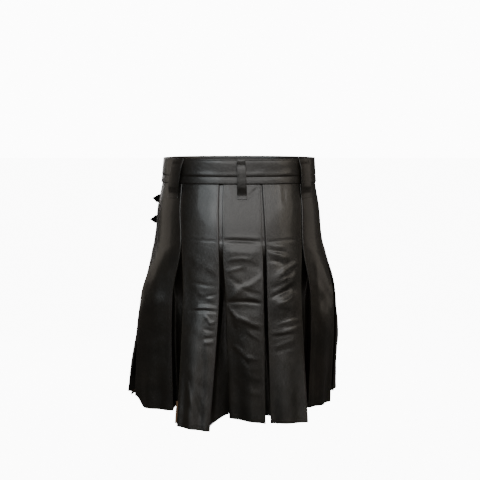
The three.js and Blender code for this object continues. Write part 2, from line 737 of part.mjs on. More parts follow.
const betweenPleats = PLEATS.slice(1).map((high, i) => ({
  name: UNDERLAY_NAMES[i],
  low: (drop) => pleatEdge(PLEATS[i], 1, drop),
  high: (drop) => pleatEdge(high, -1, drop),
  lifts: [hemLift(PLEATS[i], 1) + (UNDERLAY_RISE[UNDERLAY_NAMES[i]] ?? 0), hemLift(high, 0)],
}));
const besideApron = {
  name: "right_4",
  low: apronEdge,
  high: (drop) => pleatEdge(RIGHT_FRONT, -1, drop),
  lifts: [FRONT_LIFTS.pleated, hemLift(RIGHT_FRONT, 0)],
};
for (const { name, low, high, lifts } of [besideApron, ...betweenPleats]) {
  const rows = ROW_DROPS.map((drop) => underlayRow(low(drop), high(drop), lifts, drop));
  addPart("underlay_" + name, wall(rows, LEATHER), LEATHER_FINISH);
}

addPart("apron_over", wall(ROW_DROPS.map((drop) => overApronRow(drop)), LEATHER), LEATHER_FINISH);
addPart("apron_under", wall(ROW_DROPS.map((drop) => underApronRow(drop)), LEATHER), LEATHER_FINISH);

addPart("waistband_back", wall(bandRows(BAND_BACK.from, BAND_BACK.to, 40, () => BAND_OFFSET), BAND_THICK),
  LEATHER_FINISH);
addPart("waistband_over", wall(bandRows(BAND_OVER.from, BAND_OVER.to, 20, overBandOffset), BAND_THICK),
  LEATHER_FINISH);
const underBandOffset = -(UNDER_APRON_DEPTH - LEATHER / 2 - SEAM_GAP) + BAND_THICK / 2 + 0.15;
addPart("waistband_under", wall(bandRows(BAND_UNDER.from, BAND_UNDER.to, 14, () => underBandOffset), BAND_THICK),
  LEATHER_FINISH);

for (const loop of LOOPS) {
  addPart("belt_loop_" + loop.name, wall(loopRows(loop), LOOP_THICK), LEATHER_FINISH);
}

for (const [name, drop] of Object.entries(STRAP_DROPS)) {
  const strap = cutAtHip(wall(stripAlong(STRAP_PATH, drop, STRAP_THICK), STRAP_THICK), drop, 8, 17, 4.8);
  addPart("hip_strap_" + name, strap, LEATHER_FINISH);
  addPart("buckle_tab_" + name, cutAtHip(wall(chapeRows(drop), LEATHER), drop, 0.3, 11, 4.6), LEATHER_FINISH);
  const frame = buckleFrame().translate(BAR_SPACING / 2, 0, 0);
  addPart("buckle_frame_" + name, placeAtBuckle(frame, drop), METAL_FINISH);
  addPart("buckle_prong_" + name, placeAtBuckle(buckleProng(), drop), METAL_FINISH);
}

export default kilt;
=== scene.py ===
"""A leather kilt in its worn shape: box pleats, wrap-over front, buckled hip straps and a deep waistband.

Sizes are in millimetres until a mesh is made. Plan views use complex numbers: x + iy, so that i times a
direction of travel round the body is the outward normal. Angles round the body start at the centre back.
"""

import math
from types import SimpleNamespace

import bmesh
import bpy
import numpy as np
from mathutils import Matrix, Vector


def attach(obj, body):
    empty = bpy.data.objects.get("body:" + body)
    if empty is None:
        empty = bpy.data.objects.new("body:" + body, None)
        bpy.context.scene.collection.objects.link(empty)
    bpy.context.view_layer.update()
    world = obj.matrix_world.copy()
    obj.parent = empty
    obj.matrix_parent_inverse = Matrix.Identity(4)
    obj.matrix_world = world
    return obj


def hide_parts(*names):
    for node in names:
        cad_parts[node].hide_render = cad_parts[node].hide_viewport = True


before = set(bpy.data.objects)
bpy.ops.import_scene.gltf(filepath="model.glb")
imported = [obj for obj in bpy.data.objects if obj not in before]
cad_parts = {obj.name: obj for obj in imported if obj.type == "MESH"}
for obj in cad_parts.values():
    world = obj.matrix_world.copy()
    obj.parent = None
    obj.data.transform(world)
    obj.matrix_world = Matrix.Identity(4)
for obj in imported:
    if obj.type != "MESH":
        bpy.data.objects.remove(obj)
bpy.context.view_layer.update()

MM = 0.001
KILT_LENGTH = 610
LEATHER = 1.4
SEAM_GAP = 0.35
BAND_HEIGHT = 60
BAND_THICK = 2.6
BAND_OFFSET = LEATHER / 2 + SEAM_GAP + BAND_THICK / 2
PLEAT_TOP = 48
FELL_END = 190
MID_DROP = 330
MID_WIDTH = 86
MID_BULGE = 6
FOLD_RADIUS = 0.95
INNER_FOLD_RADIUS = 1.1
OPEN_RADIUS = 7
APRON_LIFT = 2.7
UNDER_APRON_DEPTH = 5.6
UNDER_APRON_SEAM = 4.7
RETURN_SHARE = 1 / 3
CREASE_DEPTH = 0.47

# The underlays: how deep they lie behind the pleats, the drop from which they hang free, and how far the hem
# rises in the middle. Some hems are also raised at their first end, or slanted by a twist.
UNDERLAY_BOW = 8
UNDERLAY_LOOSE = 300
UNDERLAY_LIFT = 12
UNDERLAY_RISE = dict(left_1=2, right_1=-9)
UNDERLAY_TWIST = dict(left_1=8)


def table(columns, *rows):
    return [SimpleNamespace(**dict(zip(columns.split(), row))) for row in rows]


def grouped_table(columns, **groups):
    """A table whose rows are listed under the name of the panel they lie on."""
    rows = [(panel, *row) for panel, listed in groups.items() for row in listed]
    return table("panel " + columns, *rows)


# The garment's outline: half width, sideways lean, and the depth behind and in front, at each drop
OUTLINE = table(
    "drop half_width lean back front",
    (0, 180, 2, 122, 120),
    (60, 185, 3, 128, 122),
    (120, 196, 4, 142, 128),
    (190, 203, 4, 155, 134),
    (240, 216, 5, 163, 140),
    (300, 227, 6, 170, 147),
    (400, 236, 8, 180, 156),
    (500, 243, 16, 188, 163),
    (660, 250, 24, 197, 170),
)

# The box pleats: the angles of the two fold edges, at the waistband and where the sewn part ends; then the
# place, turn and width of the face half way down and at the hem, how far each return swings open, and how
# far the hem is raised at either edge and at a corner.
PLEATS = table(
    "name start end fell_start fell_end mid_x mid_y mid_turn hem_x hem_y hem_turn hem_width bulge"
    " open_start open_end lift_start lift_end corner",
    ("right_3", -130, -89.3, -117, -81, -229, -14, -94, -228, -44, -94, 90, 8, 55, 62, 32, 34, 0),
    ("right_2", -87.5, -52.4, -79, -48.8, -197, 78, -49, -193, 66, -50, 88, 5, 66, 66, 14, 14, 0),
    ("right_1", -50.6, -17.8, -46.8, -18.7, -104, 150, -24, -115, 191, -6, 86, 6, 50, 62, 0, 0, 0),
    ("centre", -15.3, 10.9, -15.6, 10.1, -11, 171, 3, -17, 190, 15, 85, 5, 62, 80, 0, 8, 0),
    ("left_1", 14.9, 45.2, 13.4, 40.5, 91, 158, 17, 108, 214, 11, 76, 9, 82, 80, -13, -4, 0),
    ("left_2", 47, 83.6, 42, 73, 199, 98, 28, 206, 106, 27, 104, 6, 74, 60, 14, 14, 26),
    ("left_3", 85.4, 126, 75, 120, 232, -6, 93, 269, -24, 96, 98, 9, 60, 0, 40, 14, 0),
)

# The large cross folds of the back pleats: the place across the face from its middle, and the height
FOLDS = grouped_table(
    "drop across half_width tall height",
    centre=(
        (214, 0, 70, 30, 1.9), (304, -8, 40, 26, 0.3), (335, 0, 46, 24, -1.7), (370, -6, 38, 26, 1.8),
    ),
    left_1=((335, -14, 32, 30, -0.9), (376, -36, 12, 30, 1.2)),
    right_1=(
        (275, 4, 36, 22, 1.6), (305, 6, 36, 22, -1.7), (335, 2, 40, 24, 1.8), (370, 6, 34, 22, -1.5),
    ),
    left_2=((335, 4, 44, 40, 2.4),),
    right_2=((335, 6, 30, 44, -2.6),),
    left_3=((370, 0, 40, 40, 2.2),),
    right_3=((335, 0, 40, 44, -2.4),),
)

# Upright flutes that run into the hem
FLUTES = table(
    "panel start pitch shift height",
    ("left_1", 420, 40, 6, 2.4),
    ("right_2", 300, 52, 0, 3.4),
    ("left_2", 420, 60, 12, 3.2),
    ("centre", 400, 56, -8, 2.6),
    ("right_1", 420, 66, 8, 2.2),
    ("left_3", 400, 56, 0, 1.6),
    ("right_3", 380, 56, 6, 3.4),
)

# Sharp creases, each from one place on a face to another: across from the middle, and the drop.
# A ridge has a positive height and a trough a negative one.
CREASES = grouped_table(
    "across_a drop_a across_b drop_b width height",
    centre=(
        (62, 189, -62, 190, 4.4, -2.6), (-42, 60, -2, 104, 4, -1.3), (-32, 60, 4, 94, 4.5, 0.9),
        (30, 58, 22, 92, 4, 0.8), (-6, 238, -46, 256, 10, -1.3), (40, 233, -20, 231, 4.5, 1.2),
        (44, 262, -4, 246, 5, 1.3), (44, 268, 2, 290, 7, -1.5), (10, 300, -40, 312, 5, -1.1),
        (46, 328, 2, 296, 8, 1.8), (6, 296, -54, 268, 8, 1.9), (-4, 314, -44, 330, 5, 1.3),
        (56, 331, -56, 333, 4.4, -2.7), (46, 338, 12, 370, 6, 2.2), (16, 366, -44, 384, 6, 2.0),
        (38, 354, 24, 400, 8, -1.9), (-6, 396, -36, 420, 4.5, 1.4), (-10, 386, -44, 402, 4.5, -1.2),
        (28, 428, -2, 460, 7, 2.0), (2, 460, -28, 460, 6, 1.7), (14, 448, -14, 482, 6, -1.3),
        (8, 494, -40, 510, 8, 1.0), (-8, 536, -36, 544, 7, 0.9), (30, 512, 6, 560, 9, -0.8),
    ),
    left_1=(
        (60, 190, -60, 190, 3, -0.5), (-18, 248, -44, 270, 8, 0.9), (30, 230, 6, 270, 9, -0.7),
        (26, 288, -46, 295, 5, -0.9), (8, 306, -40, 331, 6, 1.1), (-4, 318, -44, 312, 4, -1.0),
        (20, 344, -50, 345, 3.8, 1.3), (22, 352, -50, 352, 3.4, -1.7), (-12, 362, -32, 380, 4, 1.6),
        (-26, 380, -46, 366, 4, 1.4), (-12, 391, -40, 396, 4.5, -1.3), (-12, 411, -42, 413, 4, -1.5),
        (-14, 421, -42, 424, 5, 1.4), (-20, 404, -34, 536, 9, 2.0), (-6, 420, -16, 520, 8, -1.2),
        (26, 496, -10, 582, 6, 0.8), (16, 500, -20, 590, 5, -1.0), (2, 508, -34, 578, 6, 0.8),
    ),
    right_1=(
        (60, 191, -60, 193, 3.2, -0.6), (33, 56, 29, 92, 2.8, 1.1), (24, 56, 22, 84, 2.6, 0.8),
        (2, 60, -4, 110, 7, -0.8), (52, 198, 4, 206, 4.5, 1.1), (50, 206, 0, 218, 3.5, -1.2),
        (56, 208, -10, 236, 7, 2.4), (40, 233, 4, 246, 4, -1.3), (16, 266, -36, 240, 6, 1.6),
        (20, 280, -24, 262, 5, -1.2), (42, 313, -24, 284, 6, 2.0), (42, 322, -20, 302, 4.5, -1.5),
        (22, 334, -34, 316, 5, 1.6), (-26, 300, -28, 376, 6, -0.8), (24, 348, -16, 356, 7, -0.9),
        (20, 383, -48, 370, 3.6, 1.3), (14, 391, -44, 380, 3.4, -1.0), (44, 401, -22, 397, 5, 1.4),
        (40, 411, -20, 408, 4.5, -1.0), (34, 434, -22, 420, 5, 1.2), (30, 446, -16, 436, 5, -0.9),
        (8, 430, 4, 600, 20, 1.8),
    ),
    right_2=(
        (30, 215, -20, 238, 7, 1.1), (12, 240, 18, 380, 8, 1.5), (-6, 300, 2, 560, 9, -1.4),
    ),
    left_2=(
        (10, 240, -4, 420, 12, 1.2), (-26, 280, -34, 520, 9, -1.0), (36, 420, 22, 600, 10, 1.2),
        (-34, 205, 10, 226, 7, 0.8),
    ),
    left_3=(
        (30, 210, -30, 232, 7, 1.4), (20, 330, -34, 322, 6, -1.3), (-14, 380, -6, 580, 11, 1.8),
    ),
    right_3=(
        (34, 226, -24, 214, 7, 1.4), (30, 318, -26, 334, 6, -1.4), (10, 360, 0, 560, 11, 1.9),
    ),
    apron_over=(
        (16, 108, 150, 130, 7, 1.5), (18, 160, 132, 192, 8, 1.7), (86, 232, 236, 248, 7, -2.0),
        (250, 244, 410, 226, 8, -2.2), (150, 206, 330, 214, 9, 1.6), (176, 270, 336, 262, 8, 1.9),
        (300, 296, 430, 318, 7, 1.6), (60, 300, 160, 344, 8, 1.7), (122, 330, 108, 620, 17, 3.4),
        (246, 366, 264, 620, 19, -3.2), (372, 300, 394, 620, 17, 3.4), (318, 430, 326, 620, 12, 2.0),
        (196, 452, 184, 620, 12, 1.8),
    ),
)

LEFT_FRONT = PLEATS[-1]
RIGHT_FRONT = PLEATS[0]
RIGHT_FRONT_GAP = 7

# The wrap-over front ends 2.4 degrees short of a whole turn
FRONT_TURN = 357.6
APRON_OVERLAP = 0.86
APRON_SWING = 55
APRON_RETURN = 2 / 18
FRONT_SPAN = 480
FRONT_LIFTS = dict(free=14, middle=4, pleated=16)
UNDER_APRON_END = 0.8
UNDER_APRON_LIFT = 6


def smooth(value, start, end):
    t = np.clip((value - start) / (end - start), 0, 1)
    return t * t * (3 - 2 * t)


def mix(a, b, t):
    return a + (b - a) * t


def unit(z):
    return z / np.abs(z)


def hermite(x0, x1, y0, y1, slope0, slope1, x):
    span = x1 - x0
    t = (x - x0) / span
    return (
        y0 * (2 * t**3 - 3 * t**2 + 1)
        + y1 * (3 * t**2 - 2 * t**3)
        + span * (slope0 * (t**3 - 2 * t**2 + t) + slope1 * (t**3 - t**2))
    )


def outline_value(column, drop):
    """A smooth curve through a column of the outline table, and straight on past its ends."""
    x = np.array([row.drop for row in OUTLINE], float)
    y = np.array([getattr(row, column) for row in OUTLINE], float)
    before = np.maximum(np.arange(len(x)) - 1, 0)
    after = np.minimum(np.arange(len(x)) + 1, len(x) - 1)
    slope = (y[after] - y[before]) / (x[after] - x[before])
    i = np.clip(np.searchsorted(x, drop, side="right") - 1, 0, len(x) - 2)
    return hermite(x[i], x[i + 1], y[i], y[i + 1], slope[i], slope[i + 1], drop)


def outline(degrees, drop):
    angle = np.radians(degrees)
    across = outline_value("lean", drop) + outline_value("half_width", drop) * np.sin(angle)
    depth = np.where(np.cos(angle) > 0, outline_value("back", drop), outline_value("front", drop))
    return across + 1j * depth * np.cos(angle)


def sewn_place(pleat, t, drop):
    down = np.clip((drop - BAND_HEIGHT) / (FELL_END - BAND_HEIGHT), 0, 1)
    start = mix(pleat.start, pleat.fell_start, down)
    end = mix(pleat.end, pleat.fell_end, down)
    return outline(mix(start, end, t), drop)


def pleat_edges(pleat, drop):
    """The two fold edges of a pleat, in plan."""
    mid_tangent, hem_tangent = np.exp(-1j * np.radians([pleat.mid_turn, pleat.hem_turn]))
    mid_centre = pleat.mid_x + 1j * pleat.mid_y
    hem_centre = pleat.hem_x + 1j * pleat.hem_y
    edges = []
    for t in (0, 1):
        fell = sewn_place(pleat, t, FELL_END)
        fell_slope = (fell - sewn_place(pleat, t, FELL_END - 20)) / 20
        mid = mid_centre + (t - 0.5) * MID_WIDTH * mid_tangent
        hem = hem_centre + (t - 0.5) * pleat.hem_width * hem_tangent
        mid_slope = (hem - fell) / (KILT_LENGTH - FELL_END)
        hem_slope = (hem - mid) / (KILT_LENGTH - MID_DROP)
        upper = hermite(FELL_END, MID_DROP, fell, mid, fell_slope, mid_slope, drop)
        lower = hermite(MID_DROP, KILT_LENGTH, mid, hem, mid_slope, hem_slope, drop)
        hanging = np.where(drop < MID_DROP, upper, lower)
        edges.append(np.where(drop <= FELL_END, sewn_place(pleat, t, drop), hanging))
    return edges


def relief(pleat, across, drop):
    """How far a face stands out of its smooth curve: cross folds, flutes, creases and a soft unevenness."""
    height = np.zeros(np.broadcast(across, drop).shape)
    for fold in FOLDS:
        if fold.panel == pleat.name:
            sideways = (across - fold.across) / fold.half_width
            down = (drop - fold.drop) / fold.tall
            height += fold.height * np.exp(-(sideways**2) - 2.5 * down**2)
    for flute in FLUTES:
        if flute.panel == pleat.name:
            wave = np.cos(2 * np.pi * (across - flute.shift) / flute.pitch)
            height += flute.height * wave * smooth(drop, flute.start, KILT_LENGTH)
    height += crease_height(pleat.name, across, drop)
    return height + unevenness(pleat.name, across, drop)


def crease_height(panel, across, drop):
    """The sharp creases, each a ridge between two shallow dips, or a trough between two low banks."""
    height = np.zeros(np.broadcast(across, drop).shape)
    place = across + 1j * drop
    for i, crease in enumerate(CREASES):
        if crease.panel != panel:
            continue
        start = crease.across_a + 1j * crease.drop_a
        run = crease.across_b + 1j * crease.drop_b - start
        local = (place - start) / unit(run)
        share = local.real / abs(run)
        wander = 0.10 * abs(run) * (share - share**2) * np.sin(1.7 * i) + 1.3 * np.sin(5 * share + i)
        away = (local.imag - wander) / crease.width
        fade = smooth(share, -0.12, 0.25) * (1 - smooth(share, 0.7, 1.12))
        ridge = 1.35 * np.exp(-(away**2)) - 0.35 * np.exp(-((away / 2.4) ** 2))
        height += CREASE_DEPTH * crease.height * fade * ridge
    return height


def unevenness(panel, across, drop):
    """The soft waves of a hanging hide, calmer where the pleat is sewn down."""
    rng = np.random.default_rng(sum(map(ord, panel)))
    height = 0
    for wavelength, size in ((150, 0.9), (95, 0.55), (58, 0.32), (34, 0.16), (21, 0.08)):
        for _ in range(3):
            heading = np.exp(1j * rng.uniform(0, np.pi))
            phase = rng.uniform(0, 2 * np.pi)
            travel = across * heading.real + 0.7 * drop * heading.imag
            height = height + size * 0.6 * np.sin(2 * np.pi * travel / wavelength + phase)
    return height * mix(0.12, 1, smooth(drop, FELL_END, FELL_END + 60))


def face_place(pleat, t, drop, relief_share=1.0):
    start, end = pleat_edges(pleat, drop)
    chord = end - start
    width = np.abs(chord)
    free = smooth(drop, FELL_END, MID_DROP)
    sewn = np.minimum(drop, FELL_END)
    sewn_start = sewn_place(pleat, 0, sewn)
    shape = (sewn_place(pleat, t, sewn) - sewn_start) / (sewn_place(pleat, 1, sewn) - sewn_start)
    bulge = mix(MID_BULGE, pleat.bulge, smooth(drop, MID_DROP, KILT_LENGTH)) / width
    edge_fade = 1 - (2 * t - 1) ** 4
    rise = mix(shape.imag, bulge * 4 * t * (1 - t), free)
    stand = relief_share * edge_fade * relief(pleat, (t - 0.5) * width, drop) / width
    return start + chord * (mix(shape.real, t, free) + 1j * (rise + stand))


def offset_point(place, t, offset, step=0.01):
    """place(t) moved out along the normal there, with the direction of travel and the normal."""
    tangent = unit(place(np.minimum(t + step, 1)) - place(np.maximum(t - step, 0)))
    normal = 1j * tangent
    return place(t) + normal * offset, tangent, normal


def face_point(pleat, t, drop, offset=0, relief_share=1.0):
    """A place on a pleat's face, t of the way across, moved out by an offset, as offset_point gives it."""
    return offset_point(lambda share: face_place(pleat, share, drop, relief_share), t, offset)


def opened(drop):
    return smooth(drop, FELL_END + 2, MID_DROP + 20)


def swing_at(hem_degrees, drop):
    return 0.2 + hem_degrees * opened(drop)


def hem_share(drop):
    return smooth(drop, KILT_LENGTH - 200, KILT_LENGTH)


def hem_lift(pleat, t):
    return mix(pleat.lift_start, pleat.lift_end, t) + pleat.corner * smooth(t, 0.72, 1)


def height_at(drop, lift):
    """The height of the leather at a drop, where lift is how far its hem is raised."""
    return -(drop - lift * hem_share(drop))


def folded_edge(surface, side, swing_degrees, reach, fold_steps=7, back_steps=9):
    """The fold at one edge of a surface and the return behind it, which swings open about the fold."""
    end = 1.0 if side > 0 else 0.0
    place, tangent, normal = surface(end, 0)
    away = tangent * side
    swing = np.radians(swing_degrees)
    centre = place - normal * FOLD_RADIUS
    angle = (np.pi - swing) * np.arange(1, fold_steps + 1) / fold_steps
    fold_normal = normal * np.cos(angle) + away * np.sin(angle)
    turn = np.exp(1j * side * swing)

    def behind(depth, shares):
        where, heading, out = surface(end - side * shares * reach, -depth)
        return centre + (where - centre) * turn, -out * turn, -side * heading * turn

    shares = np.arange(1, back_steps + 1) / back_steps
    back_place, back_normal, back_heading = behind(2 * FOLD_RADIUS, shares)
    deeper, _, _ = behind(2 * FOLD_RADIUS + 2 * INNER_FOLD_RADIUS, np.array([0.5]))
    return SimpleNamespace(
        fold=(centre + fold_normal * FOLD_RADIUS, fold_normal),
        back=(back_place, back_normal),
        last=(back_place[:, -1:], back_normal[:, -1:], back_heading[:, -1:]),
        deeper=deeper,
    )


def pleat_edge(pleat, side, drop):
    swing = swing_at(pleat.open_end if side > 0 else pleat.open_start, drop)
    creased = 1 - smooth(swing, 0, 15)

    def surface(t, offset):
        return face_point(pleat, t, drop, offset, creased)

    return folded_edge(surface, side, swing, RETURN_SHARE)


def side_by_side(arrays, shapes):
    """The arrays one after the other along a section, each widened to the shape of its part."""
    rows = max(shape[0] for shape in shapes)
    return np.hstack([np.broadcast_to(a, (rows, shape[1])) for a, shape in zip(arrays, shapes)])


def joined(*parts):
    """The places and the normals of a section's parts, one part after the other."""
    return tuple(side_by_side(arrays, [a.shape for a in arrays]) for arrays in zip(*parts))


def spread(values, *parts):
    """The given value of each part, repeated over that part's columns."""
    return side_by_side(values, [place.shape for place, _ in parts])


def backwards(part):
    return part[0][:, ::-1], part[1][:, ::-1]


def pleat_section(pleat, drop, face_steps):
    """A pleat from the end of one return, over its face, to the end of the other."""
    first, last = pleat_edge(pleat, -1, drop), pleat_edge(pleat, 1, drop)
    t = np.linspace(0, 1, face_steps + 1)[None, :]
    place, _, normal = face_point(pleat, t, drop)
    before = (backwards(first.back), backwards(first.fold))
    parts = (*before, (place, normal), last.fold, last.back)
    lifts = [hem_lift(pleat, v) for v in (0, 0, t, 1, 1)]
    return (*joined(*parts), height_at(drop, spread(lifts, *parts)))


def inner_fold(last, target, radius, steps=9):
    """The arc from a return's end to the crossing strip, which it leaves towards a target."""
    place, normal, heading = last
    start = place + heading * SEAM_GAP
    centre = start + normal * radius
    spoke = unit(start - centre)
    turning = np.sign((np.conj(spoke) * heading).imag)
    leave = spoke
    for _ in range(6):
        leave = -1j * unit(target - centre - leave * radius) * turning
    sweep = np.mod((np.angle(leave) - np.angle(spoke)) * turning, 2 * np.pi)
    sweep = np.where(sweep > 1.5 * np.pi, 0.05, sweep)
    out = spoke * np.exp(1j * turning * sweep * np.arange(steps + 1) / steps)
    return centre + out * radius, -out


def underlay_section(low, high, lifts, twist, drop, cross_steps=18):
    """The cloth behind the gap between two edges, with a fold at either side."""
    is_open = opened(drop)
    loose = smooth(drop, FELL_END + 2, UNDERLAY_LOOSE)
    radius = mix(INNER_FOLD_RADIUS, OPEN_RADIUS, is_open)
    start = low.last[0]
    chord = high.last[0] - start
    inward = -1j * unit(chord)

    def free(t):
        depth = 1.6 * radius + UNDERLAY_BOW * np.sin(np.pi * t) * is_open
        return start + chord * t + inward * depth

    near_low = mix(low.deeper, free(0.27), loose)
    near_high = mix(high.deeper, free(0.73), loose)
    middle = mix((near_low + near_high) / 2, free(0.5), loose)
    opening = inner_fold(low.last, near_low, radius)
    closing = backwards(inner_fold(high.last, near_high, radius))
    knots = [opening[0][:, -1:], near_low, middle, near_high, closing[0][:, :1]]
    path = spline(knots, cross_steps)
    run = unit(np.gradient(path, axis=1))
    crossing = (path[:, 1:-1], 1j * run[:, 1:-1])
    place, normal = joined(opening, crossing, closing)
    t = np.linspace(0, 1, place.shape[1])[None, :]
    bow = twist * np.sin(2 * np.pi * t) if twist else UNDERLAY_LIFT * np.sin(np.pi * t)
    return place, normal, height_at(drop, mix(lifts[0], lifts[1], t) + bow)


def spline(knots, steps):
    """A Catmull-Rom curve through the knots, which are columns of places."""
    points = np.hstack(knots)
    count = points.shape[1]
    before, after = 2 * points[:, :1] - points[:, 1:2], 2 * points[:, -1:] - points[:, -2:-1]
    ends = np.hstack([before, points, after])
    t = np.arange(max(2, steps // (count - 1) + 1))
    t = t / len(t)
    pieces = []
    for k in range(count - 1):
        a, b, c, d = (ends[:, k + j : k + j + 1] for j in range(4))
        square, cube = 2 * a - 5 * b + 4 * c - d, 3 * b - a - 3 * c + d
        pieces.append(0.5 * (2 * b + (c - a) * t + square * t**2 + cube * t**3))
    return np.hstack([*pieces, points[:, -1:]])


def front_place(v, drop):
    """A place on the wrap-over front, v of the way from the wearer's left to the right."""
    down = np.clip((drop - BAND_HEIGHT) / (FELL_END - BAND_HEIGHT), 0, 1)
    begin = mix(LEFT_FRONT.end, LEFT_FRONT.fell_end, down)
    finish = FRONT_TURN + mix(RIGHT_FRONT.start, RIGHT_FRONT.fell_start, down)
    on_body = outline(mix(begin, finish, v), drop)
    left = face_place(LEFT_FRONT, 1.0, drop)
    place, tangent, _ = face_point(RIGHT_FRONT, 0.0, drop)
    right = place - tangent * RIGHT_FRONT_GAP
    hanging = mix(left, right, (1 - np.cos(np.pi * v)) / 2)
    reach = outline_value("front", drop) + (left.imag + right.imag) / 2
    hanging = hanging - 1j * reach * np.sin(np.pi * v)
    return mix(on_body, hanging, smooth(drop, FELL_END - 10, MID_DROP + 40))


def front_point(u, drop, offset=0):
    return offset_point(lambda v: front_place(v, drop), u, offset)


def front_lift(u):
    edges = mix(FRONT_LIFTS["free"], FRONT_LIFTS["pleated"], u)
    return mix(edges, FRONT_LIFTS["middle"], np.sin(np.pi * u))


def apron_offset(u):
    return mix(APRON_LIFT, 0, smooth(u, 0.04, 0.4))


def front_wave(u, drop):
    roll = 5 * np.cos(2 * np.pi * 2.5 * u + 0.6) * np.sin(np.pi * u) * smooth(drop, 300, KILT_LENGTH)
    drift = 0.9 * np.sin(11 * u + drop / 70) + 0.5 * np.sin(23 * u - drop / 38 + 1)
    return roll + drift * np.sin(np.pi * u) * smooth(drop, 120, 320)


def apron_edge(drop):
    def surface(t, offset):
        return front_point(t, drop, offset)

    return folded_edge(surface, 1, swing_at(APRON_SWING, drop), APRON_RETURN)


def over_apron_section(drop, steps=140):
    t = np.linspace(APRON_OVERLAP, 0.985, 8)[None, :]
    overlap, _, overlap_normal = face_point(LEFT_FRONT, t, drop, APRON_LIFT)
    u = np.linspace(0, 1, steps + 1)[None, :]
    creases = crease_height("apron_over", FRONT_SPAN * u, drop)
    place, _, normal = front_point(u, drop, apron_offset(u) + front_wave(u, drop) + creases)
    edge = apron_edge(drop)
    parts = ((overlap, overlap_normal), (place, normal), edge.fold, edge.back)
    lifts = [front_lift(v) for v in (0, u, 1, 1)]
    return (*joined(*parts), height_at(drop, spread(lifts, *parts)))


def under_apron_section(drop, steps=70):
    t = np.linspace(2 / 3, 1, 10)[None, :]
    seam, _, seam_normal = face_point(LEFT_FRONT, t, drop, -UNDER_APRON_SEAM)
    u = UNDER_APRON_END * np.arange(1, steps + 1)[None, :] / steps
    depth = -mix(UNDER_APRON_SEAM, UNDER_APRON_DEPTH, smooth(u, 0, 0.08))
    hang = 0.7 * front_wave(u, drop) - 1.6 * smooth(drop, FELL_END, KILT_LENGTH)
    place, _, normal = front_point(u, drop, depth + hang)
    parts = ((seam, seam_normal), (place, normal))
    lifts = [hem_lift(LEFT_FRONT, 1), front_lift(u)]
    return (*joined(*parts), height_at(drop, spread(lifts, *parts) + UNDER_APRON_LIFT))


def solid(place, z):
    """Plan places and heights as points."""
    place, z = np.broadcast_arrays(place, z)
    return np.stack([place.real, place.imag, z], axis=-1)


# Meshes


def new_object(name, points, faces, materials, face_slots=None, sharp=38):
    """An object in metres from points in millimetres, smooth but for edges sharper than an angle."""
    mesh = bpy.data.meshes.new(name)
    mesh.from_pydata((points * MM).tolist(), [], faces)
    for material in materials:
        mesh.materials.append(material)
    if face_slots is not None:
        mesh.polygons.foreach_set("material_index", face_slots)
    build = bmesh.new()
    build.from_mesh(mesh)
    bmesh.ops.recalc_face_normals(build, faces=build.faces)
    build.to_mesh(mesh)
    build.free()
    mesh.shade_smooth()
    mesh.set_sharp_from_angle(angle=math.radians(sharp))
    made = bpy.data.objects.new(name, mesh)
    bpy.context.scene.collection.objects.link(made)
    return made


def grid_faces(rows, columns, first=0):
    at = first + np.arange(rows * columns).reshape(rows, columns)
    quads = np.stack([at[:-1, :-1], at[:-1, 1:], at[1:, 1:], at[1:, :-1]], axis=-1)
    return quads.reshape(-1, 4)


def leather_wall(name, section, thickness=LEATHER, sides=None):
    """A closed wall about a mid surface, with the grain outside, the flesh inside and cut edges."""
    place, normal, z = section
    rows, columns = place.shape
    grain = solid(place + normal * thickness / 2, z)
    flesh = solid(place - normal * thickness / 2, z)
    points = np.concatenate([grain.reshape(-1, 3), flesh.reshape(-1, 3)])
    at = np.arange(2 * rows * columns).reshape(2, rows, columns)
    rim = np.concatenate([at[:, 0, :], at[:, 1:, -1], at[:, -1, -2::-1], at[:, -2:0:-1, 0]], axis=1)
    across = np.stack([rim[0], np.roll(rim[0], -1), np.roll(rim[1], -1), rim[1]], axis=-1)
    parts = [grid_faces(rows, columns), grid_faces(rows, columns, rows * columns), across]
    slots = np.concatenate([np.full(len(part), i) for i, part in enumerate(parts)]).astype("i")
    materials = [*(sides or (LEATHER_GRAIN, LEATHER_FLESH)), LEATHER_EDGE]
    return new_object(name, points, np.concatenate(parts).tolist(), materials, slots)


def loft(name, rings, material, sharp, closed=False):
    """A skin over rings of points, which are closed loops. Its ends are closed unless it goes round."""
    count, points = rings.shape[:2]
    at = np.arange(count * points).reshape(count, points)
    if closed:
        at = np.vstack([at, at[:1]])
    ahead = np.roll(at, -1, axis=1)
    faces = np.stack([at[:-1], ahead[:-1], ahead[1:], at[1:]], axis=-1).reshape(-1, 4).tolist()
    if not closed:
        faces += [at[0].tolist(), at[-1][::-1].tolist()]
    return new_object(name, rings.reshape(-1, 3), faces, [material], sharp=sharp)


# Shader helpers


def feed(tree, socket, value):
    """Sets a socket to a value, or links it to the socket or the wire that is given."""
    if isinstance(value, Wire):
        value = value.socket
    if isinstance(value, bpy.types.NodeSocket):
        tree.links.new(value, socket)
    else:
        socket.default_value = value


def add_node(tree, kind, settings=None, sockets=None):
    """Adds a node with its settings, and feeds the sockets, which have a name or a number."""
    node = tree.nodes.new(kind)
    for key, value in (settings or {}).items():
        setattr(node, key, value)
    for key, value in (sockets or {}).items():
        feed(tree, node.inputs[key], value)
    return node


